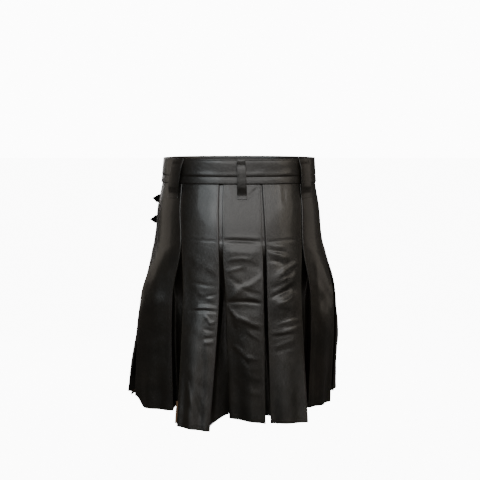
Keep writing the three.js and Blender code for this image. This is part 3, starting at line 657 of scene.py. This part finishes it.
class Wire:
    """A shader socket that takes part in arithmetic."""

    def __init__(self, shader, socket):
        self.shader, self.socket = shader, socket

    def math(self, operation, *values):
        return self.shader.wire("ShaderNodeMath", dict(operation=operation), dict(enumerate(values)))

    def __add__(self, other):
        return self.math("ADD", self, other)

    def __sub__(self, other):
        return self.math("SUBTRACT", self, other)

    def __rsub__(self, other):
        return self.math("SUBTRACT", other, self)

    def __mul__(self, other):
        return self.math("MULTIPLY", self, other)

    __radd__, __rmul__ = __add__, __mul__

    def between(self, low, high):
        settings = dict(interpolation_type="SMOOTHSTEP")
        return self.shader.wire(
            "ShaderNodeMapRange", settings, {"Value": self, "From Min": low, "From Max": high}
        )


class Shader:
    """A material with a Principled surface, built by code."""

    def __init__(self, name):
        self.material = bpy.data.materials.new(name)
        self.material.use_nodes = True
        self.tree = self.material.node_tree
        self.surface = self.tree.nodes["Principled BSDF"]
        self.place = self.wire("ShaderNodeTexCoord", output="Object")

    def wire(self, kind, settings=None, sockets=None, output=0):
        return Wire(self, add_node(self.tree, kind, settings, sockets).outputs[output])

    def noise(self, scale, detail=3.0, roughness=0.5, distortion=0.0, at=None):
        sockets = dict(Scale=scale, Detail=detail, Roughness=roughness, Distortion=distortion)
        return self.wire("ShaderNodeTexNoise", sockets=dict(sockets, Vector=at or self.place))

    def cells(self, scale):
        """The distance to the nearest border in a pattern of cells."""
        sockets = dict(Scale=scale, Vector=self.place)
        return self.wire("ShaderNodeTexVoronoi", dict(feature="DISTANCE_TO_EDGE"), sockets, "Distance")

    def stretched(self, x, y, z):
        return self.wire("ShaderNodeMapping", sockets={"Vector": self.place, "Scale": (x, y, z)})

    def blend(self, share, low, high):
        return self.wire("ShaderNodeMix", dict(data_type="RGBA"), {"Factor": share, 6: low, 7: high}, 2)

    def finish(self, bumps=(), **sockets):
        """Feeds the surface. bumps are pairs of a height and a depth in metres, the coarsest first."""
        for height, depth in bumps:
            below = {"Normal": sockets["Normal"]} if "Normal" in sockets else {}
            bump = dict(Strength=1.0, Distance=depth, Height=height, **below)
            sockets["Normal"] = self.wire("ShaderNodeBump", sockets=bump, output="Normal")
        for key, value in sockets.items():
            feed(self.tree, self.surface.inputs[key.replace("_", " ")], value)
        return self.material


def colour(red, green, blue):
    """A colour as the eye reads it, from 11 to 255, as the linear light that a shader wants."""
    return (*(((c / 255 + 0.055) / 1.055) ** 2.4 for c in (red, green, blue)), 1.0)


def grain_leather():
    s = Shader("black_grain_leather")
    warp = s.noise(60, 2.0)
    pebble = s.cells(620).between(0.0, 0.16)
    pores = s.noise(2600, 2.0, 0.6)
    wrinkle = s.noise(170, 5.0, 0.62, 0.6)
    cloud = s.noise(9, 4.0, 0.55)
    streak = s.noise(14, 1.5, at=s.stretched(1, 1, 0.5))
    shade = s.blend(cloud.between(0.3, 0.75), colour(20, 18, 15), colour(35, 31, 26))
    worn = s.blend((wrinkle * pebble).between(0.42, 0.75) * 0.35, shade, colour(50, 46, 41))
    rough = 0.28 + 0.12 * streak + 0.06 * wrinkle - 0.04 * pebble
    return s.finish(
        bumps=[(wrinkle + warp * 0.4, 0.0003), (pebble, 0.00004), (pores, 0.00002)],
        Base_Color=worn,
        Roughness=rough,
        Coat_Weight=0.32,
        Coat_Roughness=0.13,
        Specular_IOR_Level=0.5,
    )


def flesh_leather():
    s = Shader("brown_suede_inside")
    nap = s.noise(1400, 4.0, 0.7)
    cloud = s.noise(22, 4.0, 0.6)
    fibre = s.noise(500, 3.0, at=s.stretched(1, 1, 0.3))
    base = s.blend(cloud, colour(96, 68, 44), colour(132, 98, 64))
    return s.finish(
        bumps=[(fibre, 0.0003), (nap, 0.00015)],
        Base_Color=s.blend(nap.between(0.35, 0.7) * 0.5, base, colour(156, 120, 82)),
        Roughness=0.92,
        Sheen_Weight=0.25,
        Sheen_Roughness=0.5,
    )


def cut_leather():
    s = Shader("painted_cut_edge")
    fibre = s.noise(900, 3.0, 0.6)
    return s.finish(
        bumps=[(fibre, 0.0001)],
        Base_Color=s.blend(fibre, colour(20, 17, 15), colour(48, 38, 30)),
        Roughness=0.6,
    )


def sewing_thread():
    s = Shader("black_thread")
    twist = s.noise(2200, 2.0)
    return s.finish(
        bumps=[(twist, 0.0001)],
        Base_Color=s.blend(twist, colour(14, 14, 15), colour(44, 43, 43)),
        Roughness=0.5,
    )


def gunmetal():
    s = Shader("gunmetal")
    scratch = s.noise(700, 4.0, 0.6, at=s.stretched(1, 1, 6))
    return s.finish(
        bumps=[(scratch, 0.00003)],
        Base_Color=s.blend(scratch, colour(84, 84, 88), colour(120, 119, 120)),
        Metallic=1.0,
        Roughness=0.26 + 0.2 * scratch,
    )


LEATHER_GRAIN = grain_leather()
LEATHER_FLESH = flesh_leather()
LEATHER_EDGE = cut_leather()
THREAD = sewing_thread()
METAL = gunmetal()


# The pleats, the layers between them and the two aprons


def declare(piece, node=None):
    """Fixes a piece to the body, in the place of a plain solid if it has one."""
    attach(piece, "root")
    if node:
        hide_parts(node)
        piece.name = node + "_piece"
    return piece


def drops(spacing, start=PLEAT_TOP, end=KILT_LENGTH):
    count = max(2, round((end - start) / spacing))
    return np.linspace(start, end, count + 1)[:, None]


def cut_from(piece, flat, held, *rests_on, area=None):
    """Returns the piece as it is; the flat piece of leather, in metres, that it is made from is not used, nor
    are the other arguments.
    """
    return piece


def sheet_of(name, section, flat, area=None, held_by="waistband_back"):
    return cut_from(declare(leather_wall(name, section), name), flat, "hung", held_by, area=area)


# Flat sizes in metres, and the share of the flat rectangle that a tapered panel fills
SKIRT_LENGTH = 0.565
PLEAT_CUT = (0.152, SKIRT_LENGTH)
UNDERLAY_WIDTHS = dict(
    right_4=0.11, right_3=0.10, right_2=0.135, right_1=0.11, left_1=0.12, left_2=0.135, left_3=0.11
)
UNDERLAY_FILL = 0.75
APRON_CUT = (0.62, SKIRT_LENGTH)
UNDER_APRON_CUT = (0.50, 0.56)
APRON_FILL = 0.82

# From column to column of a pleat's mesh, finest where the photo's creases are. Its rows are wider apart.
COLUMN_SPACING = dict(centre=1.9, left_1=1.9, right_1=1.9, left_2=2.6, right_2=2.6, left_3=4.0, right_3=4.0)
ROW_STRETCH = 1.25

for pleat in PLEATS:
    spacing = COLUMN_SPACING[pleat.name]
    section = pleat_section(pleat, drops(spacing * ROW_STRETCH), round(MID_WIDTH / spacing))
    sheet_of("pleat_" + pleat.name, section, PLEAT_CUT)

# Each underlay runs from the far edge of one pleat, or of the apron, to the near edge of the next
underlays = [("right_4", None, RIGHT_FRONT, (FRONT_LIFTS["pleated"], hem_lift(RIGHT_FRONT, 0)))]
for low, high in zip(PLEATS, PLEATS[1:]):
    name = high.name if high.name.startswith("left") else low.name
    lifts = (hem_lift(low, 1) + UNDERLAY_RISE.get(name, 0), hem_lift(high, 0))
    underlays.append((name, low, high, lifts))
for name, low, high, lifts in underlays:
    rows = drops(5)
    far_edge = pleat_edge(low, 1, rows) if low else apron_edge(rows)
    twist = UNDERLAY_TWIST.get(name, 0)
    section = underlay_section(far_edge, pleat_edge(high, -1, rows), lifts, twist, rows)
    cut = (UNDERLAY_WIDTHS[name], SKIRT_LENGTH)
    sheet_of("underlay_" + name, section, cut, UNDERLAY_FILL * cut[0] * cut[1])

for name, section, cut, held_by in (
    ("apron_over", over_apron_section(drops(3.6)), APRON_CUT, "waistband_over"),
    ("apron_under", under_apron_section(drops(6)), UNDER_APRON_CUT, "waistband_under"),
):
    sheet_of(name, section, cut, APRON_FILL * cut[0] * cut[1], held_by)

TURNED_START = 556
TURNED_END = 605
TURNED_THICK = 1.0
TURNED_CUT = (0.011, 0.050)


def turned_edge(pleat, drop):
    """The narrow turned edge beside a pleat's far fold, which shows its flesh side at the hem."""
    place, tangent, normal = face_point(pleat, 1.0, drop)
    out = np.linspace(1.5, 12.5, 6)[None, :] * mix(0.8, 1, smooth(drop, TURNED_START, 580))
    where = place + tangent * out - normal * (2.6 + 0.02 * out**2)
    return where, normal + 0 * out, height_at(drop, hem_lift(pleat, 1)) + 0 * out


section = turned_edge(PLEATS[4], drops(4, TURNED_START, TURNED_END))
strip = leather_wall("turned_edge", section, TURNED_THICK, (LEATHER_FLESH, LEATHER_GRAIN))
cut_from(declare(strip), TURNED_CUT, "folded", "pleat_left_1")


# Pieces that lie on the outline: waistband, belt loops, hip straps


def normalized(vectors):
    return vectors / np.linalg.norm(vectors, axis=-1, keepdims=True)


def surface_point(degrees, drop, offset):
    """A point off the outline, with its normal, its direction of travel and the way down."""
    degrees, drop, offset = np.broadcast_arrays(*(np.asarray(v, float) for v in (degrees, drop, offset)))
    flat = outline(degrees, drop)
    around = unit(outline(degrees + 0.5, drop) - outline(degrees - 0.5, drop))
    fall = outline(degrees, drop + 5) - outline(degrees, drop - 5)
    down = normalized(np.stack([fall.real, fall.imag, np.full(fall.shape, -10.0)], axis=-1))
    tangent = np.stack([around.real, around.imag, np.zeros(around.shape)], axis=-1)
    normal = normalized(np.cross(tangent, down))
    place = np.stack([flat.real, flat.imag, -drop], axis=-1) + normal * offset[..., None]
    return place, normal, tangent, down


def raised(place, normal, along, slope, through):
    """Places moved out by through, square to a strap that rises by slope for each step along it."""
    return place + normalized(normal - along * slope[:, None, None]) * through[..., None]


def softened(values, weights):
    """A running mean of values with the weights given."""
    padded = np.pad(values, len(weights) // 2, mode="edge")
    return np.convolve(padded, np.array(weights) / sum(weights), mode="valid")


def arc(x, y, radius, start, count):
    """Places on a quarter circle about x + iy, from the angle start on."""
    return x + 1j * y + radius * np.exp(1j * np.radians(start + np.linspace(0, 90, count)))


def with_opposite(*parts):
    """A closed line through the parts and then through their images on the far side of the middle."""
    half = np.concatenate(parts)
    return np.concatenate([half, -half])


def rounded_section(width, thick):
    """The outline of a strap's section, as places across it and heights through it."""
    corner = 0.42 * thick
    x, y = width / 2 - corner, thick / 2 - corner
    flat = np.linspace(x, -x, max(1, int(x)) + 1)[1:-1] + 0.5j * thick
    ring = with_opposite(arc(x, -y, corner, -90, 4), arc(x, y, corner, 0, 4), flat)
    return np.stack([ring.real, ring.imag], axis=1)


BAND_BACK = (-132, 118.4)
BAND_OVER = (118.4, 228)
BAND_UNDER = (128.5, 214.0)
FRONT_BAND_ROOM = 0.15

# Drag lines in the waistband's soft body
STREAKS = table(
    "angle half_angle drop half_drop height",
    *((34, 11, 36, 3.2, 0.5), (24, 8, 30, 3, -0.3), (14, 7, 22, 4, 0.2), (-17, 9, 33, 3.2, 0.3)),
    *((-30, 7, 27, 3, -0.25), (-41, 9, 33, 3.4, 0.45), (-66, 9, 34, 3.6, 0.35)),
    *((66, 10, 30, 3.6, 0.35), (88, 8, 38, 4, 0.3)),
)


def front_share(degrees):
    return (degrees - LEFT_FRONT.end) / (FRONT_TURN + RIGHT_FRONT.start - LEFT_FRONT.end)


def band_profile():
    """The waistband's section: a folded top edge, a soft body, a seam, and a flat strip below it."""
    outer = [
        (0.4, 0.75), (1.2, 1.0), (2.6, 0.98), (4.2, 0.86), (6, 1.0), (12, 1.08), (20, 1.12), (28, 1.16),
        (33, 1.26), (36.5, 1.42), (39, 1.36), (40.8, 1.1), (42, 0.72), (43, 0.62), (44, 0.78),
        (45.4, 0.92), (50, 0.97), (56.5, 0.94), (58.6, 0.85), (59.4, 0.6), (59.9, 0.1),
    ]
    inner = [
        (59.7, -0.7), (58.5, -1.0), (45, -1.0), (30, -1.0), (15, -1.0), (2, -1.0), (0.6, -0.7), (0.0, 0.0),
    ]
    return np.array(outer + inner) * (1, BAND_THICK / 2)


def waistband(name, span, offset_at, steps, ripple):
    profile = band_profile()
    degrees = np.linspace(*span, steps + 1)[:, None]
    drop, out = profile[None, :, 0], profile[None, :, 1]
    wave = 0.2 * np.sin(degrees * 0.17 + drop * 0.04) + 0.04 * np.sin(degrees * 0.53 - drop * 0.12 + 2)
    for streak in STREAKS:
        along = (degrees - streak.angle) / streak.half_angle
        down = (drop - streak.drop - 2 * along) / streak.half_drop
        wave = wave + streak.height * np.exp(-(along**2) - down**2)
    wave = ripple * wave * smooth(drop, 2, 14) * (1 - smooth(drop, 38, 43)) * (out > 0)
    place, _, _, _ = surface_point(degrees, drop, offset_at(degrees) + out + wave)
    return loft(name, place, LEATHER_GRAIN, 55)


def back_band_offset(degrees):
    return BAND_OFFSET + 0 * degrees


def over_band_offset(degrees):
    return BAND_OFFSET + apron_offset(front_share(degrees)) + FRONT_BAND_ROOM


def under_band_offset(degrees):
    depth = UNDER_APRON_DEPTH - LEATHER / 2 - SEAM_GAP
    return -depth + BAND_THICK / 2 + FRONT_BAND_ROOM + 0 * degrees


for name, span, offset_at, steps, ripple, length in (
    ("waistband_back", BAND_BACK, back_band_offset, 300, 0.75, 0.690),
    ("waistband_over", BAND_OVER, over_band_offset, 130, 0.6, 0.345),
    ("waistband_under", BAND_UNDER, under_band_offset, 100, 0.6, 0.265),
):
    band = declare(waistband(name, span, offset_at, steps, ripple), name)
    cut_from(band, (length, BAND_HEIGHT * MM), "stretched")

STITCH_HEIGHT = 0.12
LOOP_THICK = 2.2
LOOP_ROOM = 6.2
LOOP_LENGTH = 94
LOOP_INSET = 2.6
LOOP_CUT_LENGTH = 0.097
LOOPS = table(
    "name angle lean width flare",
    ("back", -1.4, -1.2, 19, 3),
    ("left_back", 51, 3.2, 32, 0),
    ("right_back", -56, -0.6, 32, 0),
)


def loop_path(loop):
    base = BAND_OFFSET + BAND_THICK / 2
    seated = 2 * SEAM_GAP + LOOP_THICK / 2
    stand = LOOP_ROOM + LOOP_THICK / 2
    end = LEATHER / 2 + seated - base
    knots = np.array([
        (1.2, seated + 0.2), (4, seated + 0.2), (9, mix(seated, stand, 0.3)), (15, mix(seated, stand, 0.75)),
        (22, stand), (34, stand + 0.4), (52, stand + 0.2), (60, mix(stand, end, 0.06)),
        (68, mix(stand, end, 0.22)), (76, mix(stand, end, 0.58)), (83, mix(stand, end, 0.9)),
        (88, end), (LOOP_LENGTH, end + 0.2),
    ])
    drop = np.linspace(knots[0, 0], knots[-1, 0], 90)
    offset = base + np.interp(drop, knots[:, 0], knots[:, 1])
    return drop, softened(offset, (1, 2, 3, 4, 3, 2, 1))


def loop_rings(loop, section):
    drop, offset = loop_path(loop)
    slope = np.gradient(offset, drop)
    t = (drop - drop[0]) / (drop[-1] - drop[0])
    at = loop.angle + loop.lean * t
    here, beside = (surface_point(loop.angle + turn, 30, 0)[0] for turn in (0, 1))
    reach = np.linalg.norm(beside - here)
    widen = (loop.width + loop.flare * t)[:, None] / loop.width
    across, through = section[None, :, 0] * widen, section[None, :, 1]
    place, normal, _, down = surface_point(at[:, None] + across / reach, drop[:, None], offset[:, None])
    return raised(place, normal, down, slope, through)


# Every row of stitches is a line of points, kept with the group that it is sewn with
seams = []
for loop in LOOPS:
    rings = loop_rings(loop, rounded_section(loop.width, LOOP_THICK))
    node = "belt_loop_" + loop.name
    strip = declare(loft(node, rings, LEATHER_GRAIN, 50), node)
    cut_from(strip, (loop.width * MM, LOOP_CUT_LENGTH), "stretched", "waistband_back")
    half = loop.width / 2 - LOOP_INSET
    across = np.linspace(-half, half, 12)
    lines = loop_rings(loop, np.stack([across, np.full(12, LOOP_THICK / 2 + STITCH_HEIGHT)], axis=1))
    seams += [("loops", lines[4:-3, k]) for k in (0, -1)]
    seams += [("loops", lines[k]) for k in (6, -5)]

STRAP_THICK = 2.2
STRAP_HALF = 10
BUCKLE_WIRE = 3
BUCKLE_LENGTH = 25
BUCKLE_HALF = 15
HEEL_ANGLE = 112
STRAP_DROPS = dict(upper=104, lower=154)
HEEL_HEIGHT = 5.2
FRONT_BAR_HEIGHT = 9.4
BAR_SPACING = BUCKLE_LENGTH - BUCKLE_WIRE

# Millimetres round the hip for one degree
HIP_REACH = 2.38

STRAP_INSET = 2.2
STRAP_CUT = (2 * STRAP_HALF * MM, 0.100)
TAB_WIDTH = 17
TAB_CUT = (TAB_WIDTH * MM, 0.066)

# The slots for the prong: how far their middle is from the heel bar, their length and their width
STRAP_SLOT = (8, 17, 4.8)
TAB_SLOT = (0.3, 11, 4.6)

# The strap's middle line: along from the heel bar and off the body. Its half width, from the point on.
STRAP_HEIGHTS = np.array([
    (-37, 18.6), (-31, 14.2), (-24, 10.6), (-12, 10.0), (0, 10.8), (8, 8.4), (16, 5.6), (26, 4.8), (62, 4.8),
])
STRAP_HALVES = np.array([(-37, 0.8), (-31, 5.2), (-24, STRAP_HALF)])
STRAP_TIP_HALF = 0.9


def hip_point(drop, reach, up, height):
    return surface_point(HEEL_ANGLE + np.asarray(reach) / HIP_REACH, drop - np.asarray(up), height)


def strap_rings(drop, section):
    """The strap along its path, as rings of the section, whose width follows the pointed end."""
    reach = np.concatenate([np.linspace(-37, -24, 16)[:-1], np.linspace(-24, 62, 60)])
    height, half = (np.interp(reach, *knots.T) for knots in (STRAP_HEIGHTS, STRAP_HALVES))
    height = softened(height, (1, 2, 3, 2, 1))
    slope = np.gradient(height, reach)
    across = section[None, :, 0] * np.maximum(half, STRAP_TIP_HALF)[:, None] / STRAP_HALF
    place, normal, tangent, _ = hip_point(drop, reach[:, None], across, height[:, None])
    return raised(place, normal, tangent, slope, section[None, :, 1])


def tab_rings(drop, section):
    """The buckle's tab: along the pleat, round the heel bar and back."""
    low = LEATHER + 2 * SEAM_GAP
    radius = BUCKLE_WIRE / 2 + 0.9 + LEATHER / 2
    spine = np.concatenate([
        np.linspace(-28, -4, 12) + 1j * low,
        1j * HEEL_HEIGHT + radius * np.exp(1j * np.radians(np.linspace(-90, 90, 13))),
        [-3 + 8j, -5.5 + 7j, -8 + 5.4j, -11 + 4.4j, -16 + 4j, -21 + 3.9j, -26 + 3.9j],
    ])
    run = unit(np.gradient(spine))[:, None, None]
    place, normal, tangent, _ = hip_point(drop, spine.real[:, None], section[None, :, 0], spine.imag[:, None])
    return place + (normal * run.real - tangent * run.imag) * section[None, :, 1, None]


def buckle_axes(drop):
    """The heel bar's place, and the directions towards the front bar, up the garment and outwards."""
    place, normal, tangent, _ = hip_point(drop, 0, 0, HEEL_HEIGHT)
    tilt = math.atan2(FRONT_BAR_HEIGHT - HEEL_HEIGHT, BAR_SPACING)
    up = np.cross(normal, tangent)
    ahead = tangent * math.cos(tilt) + normal * math.sin(tilt)
    out = normal * math.cos(tilt) - tangent * math.sin(tilt)
    return place, ahead, up, out


def at_buckle(drop, points):
    place, ahead, up, out = buckle_axes(drop)
    return place + points[..., :1] * ahead + points[..., 1:2] * up + points[..., 2:] * out


def tube(path, radius, sides=14, closed=False):
    """Rings of a round wire along a path that lies in one plane."""
    path = np.asarray(path, float)
    if closed:
        run = np.roll(path, -1, axis=0) - np.roll(path, 1, axis=0)
    else:
        run = np.gradient(path, axis=0)
    plane = np.linalg.svd(path - path.mean(axis=0))[2][2]
    side = np.cross(normalized(run), plane)
    angle = np.linspace(0, 2 * np.pi, sides, endpoint=False)
    radius = np.broadcast_to(radius, len(path))[:, None, None]
    spokes = side[:, None] * np.cos(angle)[None, :, None] + plane[None, None] * np.sin(angle)[None, :, None]
    return path[:, None] + radius * spokes


def buckle_path():
    corner = 4.0
    x, y = BAR_SPACING / 2 - corner, BUCKLE_HALF - BUCKLE_WIRE / 2 - corner
    ring = with_opposite(arc(x, y, corner, 0, 7), arc(-x, y, corner, 90, 7)) + BAR_SPACING / 2
    return np.stack([ring.real, ring.imag, 0 * ring.real], axis=1)


def prong_path():
    """The prong's middle line, round the heel bar and along to the front bar, where it rests."""
    around = (BUCKLE_WIRE / 2 + 1.5) * np.exp(1j * np.radians(np.arange(320, 80, -10)))
    rest = BUCKLE_WIRE / 2 + 1.3
    x = np.arange(4, 24, 4)
    path = np.concatenate([
        around, x + 1j * (rest + 0.2 * (1 - x / BAR_SPACING)), [BAR_SPACING + 2.4 + 1j * (rest - 0.1)]
    ])
    return np.stack([path.real, 0 * path.real, path.imag], axis=1)


def punched(piece, drop, reach, length, width, cutter_reach=9):
    """Cuts a slot with round ends through a strap at the hip."""
    place, normal, tangent, _ = hip_point(drop, reach, 0, HEEL_HEIGHT + 2)
    up = np.cross(normal, tangent)
    radius = width / 2
    angle = np.radians(np.linspace(-90, 90, 9))
    end = np.stack([length / 2 - radius + radius * np.cos(angle), radius * np.sin(angle)], axis=1)
    ring = np.concatenate([end, -end])
    ring = place + ring[:, :1] * tangent + ring[:, 1:] * up
    ends = np.array([ring - cutter_reach * normal, ring + cutter_reach * normal])
    cutter = loft("slot_cutter", ends, LEATHER_EDGE, 38)
    cut = piece.modifiers.new("slot", "BOOLEAN")
    cut.operation, cut.object, cut.solver = "DIFFERENCE", cutter, "EXACT"
    applied(piece)
    bpy.data.objects.remove(cutter)
    return piece


def applied(piece):
    """Replaces a piece's mesh by what its modifiers make of it."""
    view = bpy.context.evaluated_depsgraph_get()
    made = bpy.data.meshes.new_from_object(piece.evaluated_get(view))
    piece.modifiers.clear()
    piece.data = made
    return piece


for which, drop in STRAP_DROPS.items():
    rings = strap_rings(drop, rounded_section(2 * STRAP_HALF, STRAP_THICK))
    strap = loft("strap", rings, LEATHER_GRAIN, 50)
    strap = declare(punched(strap, drop, *STRAP_SLOT), "hip_strap_" + which)
    cut_from(strap, STRAP_CUT, "stretched", "buckle_frame_" + which)
    rings = tab_rings(drop, rounded_section(TAB_WIDTH, LEATHER))
    tab = loft("tab", rings, LEATHER_GRAIN, 50)
    tab = declare(punched(tab, drop, *TAB_SLOT), "buckle_tab_" + which)
    cut_from(tab, TAB_CUT, "folded", "buckle_frame_" + which)
    wire = at_buckle(drop, tube(buckle_path(), BUCKLE_WIRE / 2, closed=True))
    declare(loft("wire", wire, METAL, 80, closed=True), "buckle_frame_" + which)
    path = prong_path()
    taper = np.full(len(path), 1.0)
    taper[-3:] = (0.95, 0.85, 0.6)
    pin = at_buckle(drop, tube(path, taper))
    declare(loft("pin", pin, METAL, 70), "buckle_prong_" + which)
    for side in (-1, 1):
        edge = (side * (STRAP_HALF - STRAP_INSET), STRAP_THICK / 2 + 0.1)
        seams.append(("straps", strap_rings(drop, np.array([edge]))[4:, 0]))


# Sewing

SEWN_START = 62
EDGE_INSET = 3.2

# The stitches' sizes in metres: from one to the next, their radius across the line and half their length
# along it. The least size is the smallest stitch as a share of the largest.
STITCH_SIZES = {"Pitch": 0.0034, "Radius": 0.00034, "Half Length": 0.0013, "Least Size": 0.88}


def face_line(pleat, inset, low, high):
    """A row of stitches beside an edge of a pleat. A negative inset counts from the far edge."""
    drop = drops(3, low, high)
    start, end = pleat_edges(pleat, drop)
    share = abs(inset) / np.abs(end - start)
    t = share if inset > 0 else 1 - share
    place, _, _ = face_point(pleat, t, drop, LEATHER / 2 + STITCH_HEIGHT)
    return solid(place, -drop)[:, 0]


def fell_line(pleat):
    t = np.linspace(0.02, 0.98, 40)[None, :]
    drop = np.full((1, 1), float(FELL_END))
    place, _, _ = face_point(pleat, t, drop, LEATHER / 2 + STITCH_HEIGHT)
    return solid(place, -drop)[0]


def band_line(span, drop, height, offset_at):
    degrees = np.linspace(span[0] + 0.6, span[1] - 0.6, 200)
    return surface_point(degrees, drop, offset_at(degrees) + height)[0]


for pleat in PLEATS:
    for inset in (EDGE_INSET, -EDGE_INSET):
        seams.append(("pleats", face_line(pleat, inset, SEWN_START, FELL_END)))
    seams.append(("pleats", fell_line(pleat)))
for span, offset_at in ((BAND_BACK, back_band_offset), (BAND_OVER, over_band_offset)):
    for drop, out, clear in ((4.2, 0.74, 0.12), (46.2, 0.94, 0.1), (57.6, 0.90, 0.1)):
        seams.append(("waistband", band_line(span, drop, out * BAND_THICK / 2 + clear, offset_at)))
rows = drops(3, SEWN_START, KILT_LENGTH - 2)
line, _, _ = face_point(LEFT_FRONT, APRON_OVERLAP + 0.045, rows, APRON_LIFT + LEATHER / 2 + STITCH_HEIGHT)
seams.append(("apron", solid(line, height_at(rows, front_lift(0.0)))[:, 0]))


def stitch_tree():
    """Puts a stitch on every step of a line: a rounded bead that points along it."""
    tree = bpy.data.node_groups.new("stitches", "GeometryNodeTree")
    for name, way, kind in (
        ("Lines", "INPUT", "Geometry"),
        *((size, "INPUT", "Float") for size in STITCH_SIZES),
        ("Seed", "INPUT", "Int"),
        ("Thread", "INPUT", "Material"),
        ("Stitches", "OUTPUT", "Geometry"),
    ):
        tree.interface.new_socket(name, in_out=way, socket_type="NodeSocket" + kind)

    def add(kind, sockets, settings=None, output=0):
        return add_node(tree, kind, settings, sockets).outputs[output]

    given = tree.nodes.new("NodeGroupInput").outputs
    curve = add("GeometryNodeMeshToCurve", dict(Mesh=given["Lines"]))
    steps = dict(Curve=curve, Length=given["Pitch"])
    points = add("GeometryNodeCurveToPoints", steps, dict(mode="LENGTH"))
    tangent = points.node.outputs["Tangent"]
    turn = add("FunctionNodeAlignRotationToVector", dict(Vector=tangent), dict(axis="Z"))
    radius = given["Radius"]
    shape = add("ShaderNodeCombineXYZ", dict(X=radius, Y=radius, Z=given["Half Length"]))
    limits = {2: given["Least Size"], 3: 1.0, "Seed": given["Seed"]}
    vary = add("FunctionNodeRandomValue", limits, dict(data_type="FLOAT"), 1)
    size = add("ShaderNodeVectorMath", {0: shape, "Scale": vary}, dict(operation="SCALE"))
    bead = add("GeometryNodeMeshUVSphere", dict(Segments=6, Rings=5, Radius=1.0))
    places = dict(Points=points, Instance=bead, Rotation=turn, Scale=size)
    placed = add("GeometryNodeInstanceOnPoints", places)
    real = add("GeometryNodeRealizeInstances", dict(Geometry=placed))
    dressed = add("GeometryNodeSetMaterial", dict(Geometry=real, Material=given["Thread"]))
    tree.links.new(dressed, tree.nodes.new("NodeGroupOutput").inputs["Stitches"])
    return tree


STITCHES = stitch_tree()


def sew(name, lines, seed):
    """Turns lines, in millimetres, into rows of stitches."""
    mesh = bpy.data.meshes.new(name)
    vertices, edges = [], []
    for line in lines:
        first = len(vertices)
        vertices += (np.asarray(line) * MM).tolist()
        edges += [(i, i + 1) for i in range(first, len(vertices) - 1)]
    mesh.from_pydata(vertices, edges, [])
    piece = bpy.data.objects.new(name, mesh)
    bpy.context.scene.collection.objects.link(piece)
    maker = piece.modifiers.new("stitches", "NODES")
    maker.node_group = STITCHES
    sockets = {item.name: item.identifier for item in STITCHES.interface.items_tree}
    for key, value in dict(STITCH_SIZES, Seed=seed, Thread=THREAD).items():
        maker[sockets[key]] = value
    applied(piece)
    piece.data.shade_smooth()
    return declare(piece)


for seed, group in enumerate(("pleats", "waistband", "apron", "loops", "straps")):
    sew("stitches_" + group, [line for kind, line in seams if kind == group], seed)


# Camera, light and floor

scene = bpy.context.scene
camera = bpy.data.objects.new("camera", bpy.data.cameras.new("camera"))
scene.collection.objects.link(camera)
scene.camera = camera
camera.data.sensor_width = 36
camera.data.lens = 92.5
camera.location = (0, 3.0, 0.10)
camera.rotation_euler = (math.radians(90 - 5.75), 0, math.pi)


def area_light(name, place, aim, width, height, power, tint=(1, 1, 1), shape="RECTANGLE"):
    light = bpy.data.lights.new(name, "AREA")
    light.shape, light.size, light.size_y = shape, width, height
    light.energy, light.color = power, tint
    made = bpy.data.objects.new(name, light)
    made.location = place
    made.rotation_euler = (Vector(aim) - Vector(place)).to_track_quat("-Z", "Y").to_euler()
    scene.collection.objects.link(made)


for light in (
    ("umbrella", (-0.42, 2.35, 0.93), (0, 0.1, -0.12), 4.4, 1.08, 41, (1, 0.985, 0.97), "ELLIPSE"),
    ("umbrella_centre", (1.45, 2.3, 0.88), (0.05, 0.1, -0.1), 1.35, 0.85, 12, (0.88, 0.96, 1), "ELLIPSE"),
    ("room", (-1, 3.6, -0.1), (0, 0, -0.3), 4.5, 2, 5, (1, 0.93, 0.84)),
    ("left_fill", (2.7, -0.8, 0.3), (0, 0, -0.3), 1.6, 1.8, 7, (1, 0.9, 0.78)),
    ("window", (-2.5, 1.75, 0.75), (0, 0, -0.2), 1.3, 1, 6, (1, 0.9, 0.76), "ELLIPSE"),
    ("right_fill", (-2.7, -0.6, 0.3), (0, 0, -0.3), 1.5, 1.8, 5.5, (1, 0.9, 0.78)),
    ("front", (0.8, -3, 0.7), (0, 0, -0.25), 3, 1.4, 34, (1, 0.98, 0.95)),
    ("top", (0, -0.4, 2.2), (0, 0, -0.2), 2, 2, 5),
):
    area_light(*light)

world = bpy.data.worlds.new("white_room")
scene.world = world
world.use_nodes = True
tree = world.node_tree
seen, lit = (
    add_node(tree, "ShaderNodeBackground", sockets=dict(Color=tint, Strength=strength)).outputs[0]
    for tint, strength in (((1, 1, 1, 1), 12.0), ((1, 0.93, 0.85, 1), 0.06))
)
camera_ray = add_node(tree, "ShaderNodeLightPath").outputs["Is Camera Ray"]
choose = add_node(tree, "ShaderNodeMixShader", sockets={0: camera_ray, 1: lit, 2: seen})
feed(tree, tree.nodes["World Output"].inputs["Surface"], choose.outputs[0])


def pale_floor():
    s = Shader("pale_floor")
    tone = s.blend(s.noise(3, 2.0), colour(248, 248, 248), colour(252, 252, 252))
    return s.finish(Base_Color=tone, Roughness=0.9, Emission_Color=tone, Emission_Strength=11.2)


FLOOR_HEIGHT = -1020
FLOOR_HALF = 30000
sides = ((-1, -1), (1, -1), (1, 1), (-1, 1))
corners = np.array([(x * FLOOR_HALF, y * FLOOR_HALF, FLOOR_HEIGHT) for x, y in sides])
floor = new_object("floor", corners, [(0, 1, 2, 3)], [pale_floor()])
floor.visible_glossy = floor.visible_diffuse = False
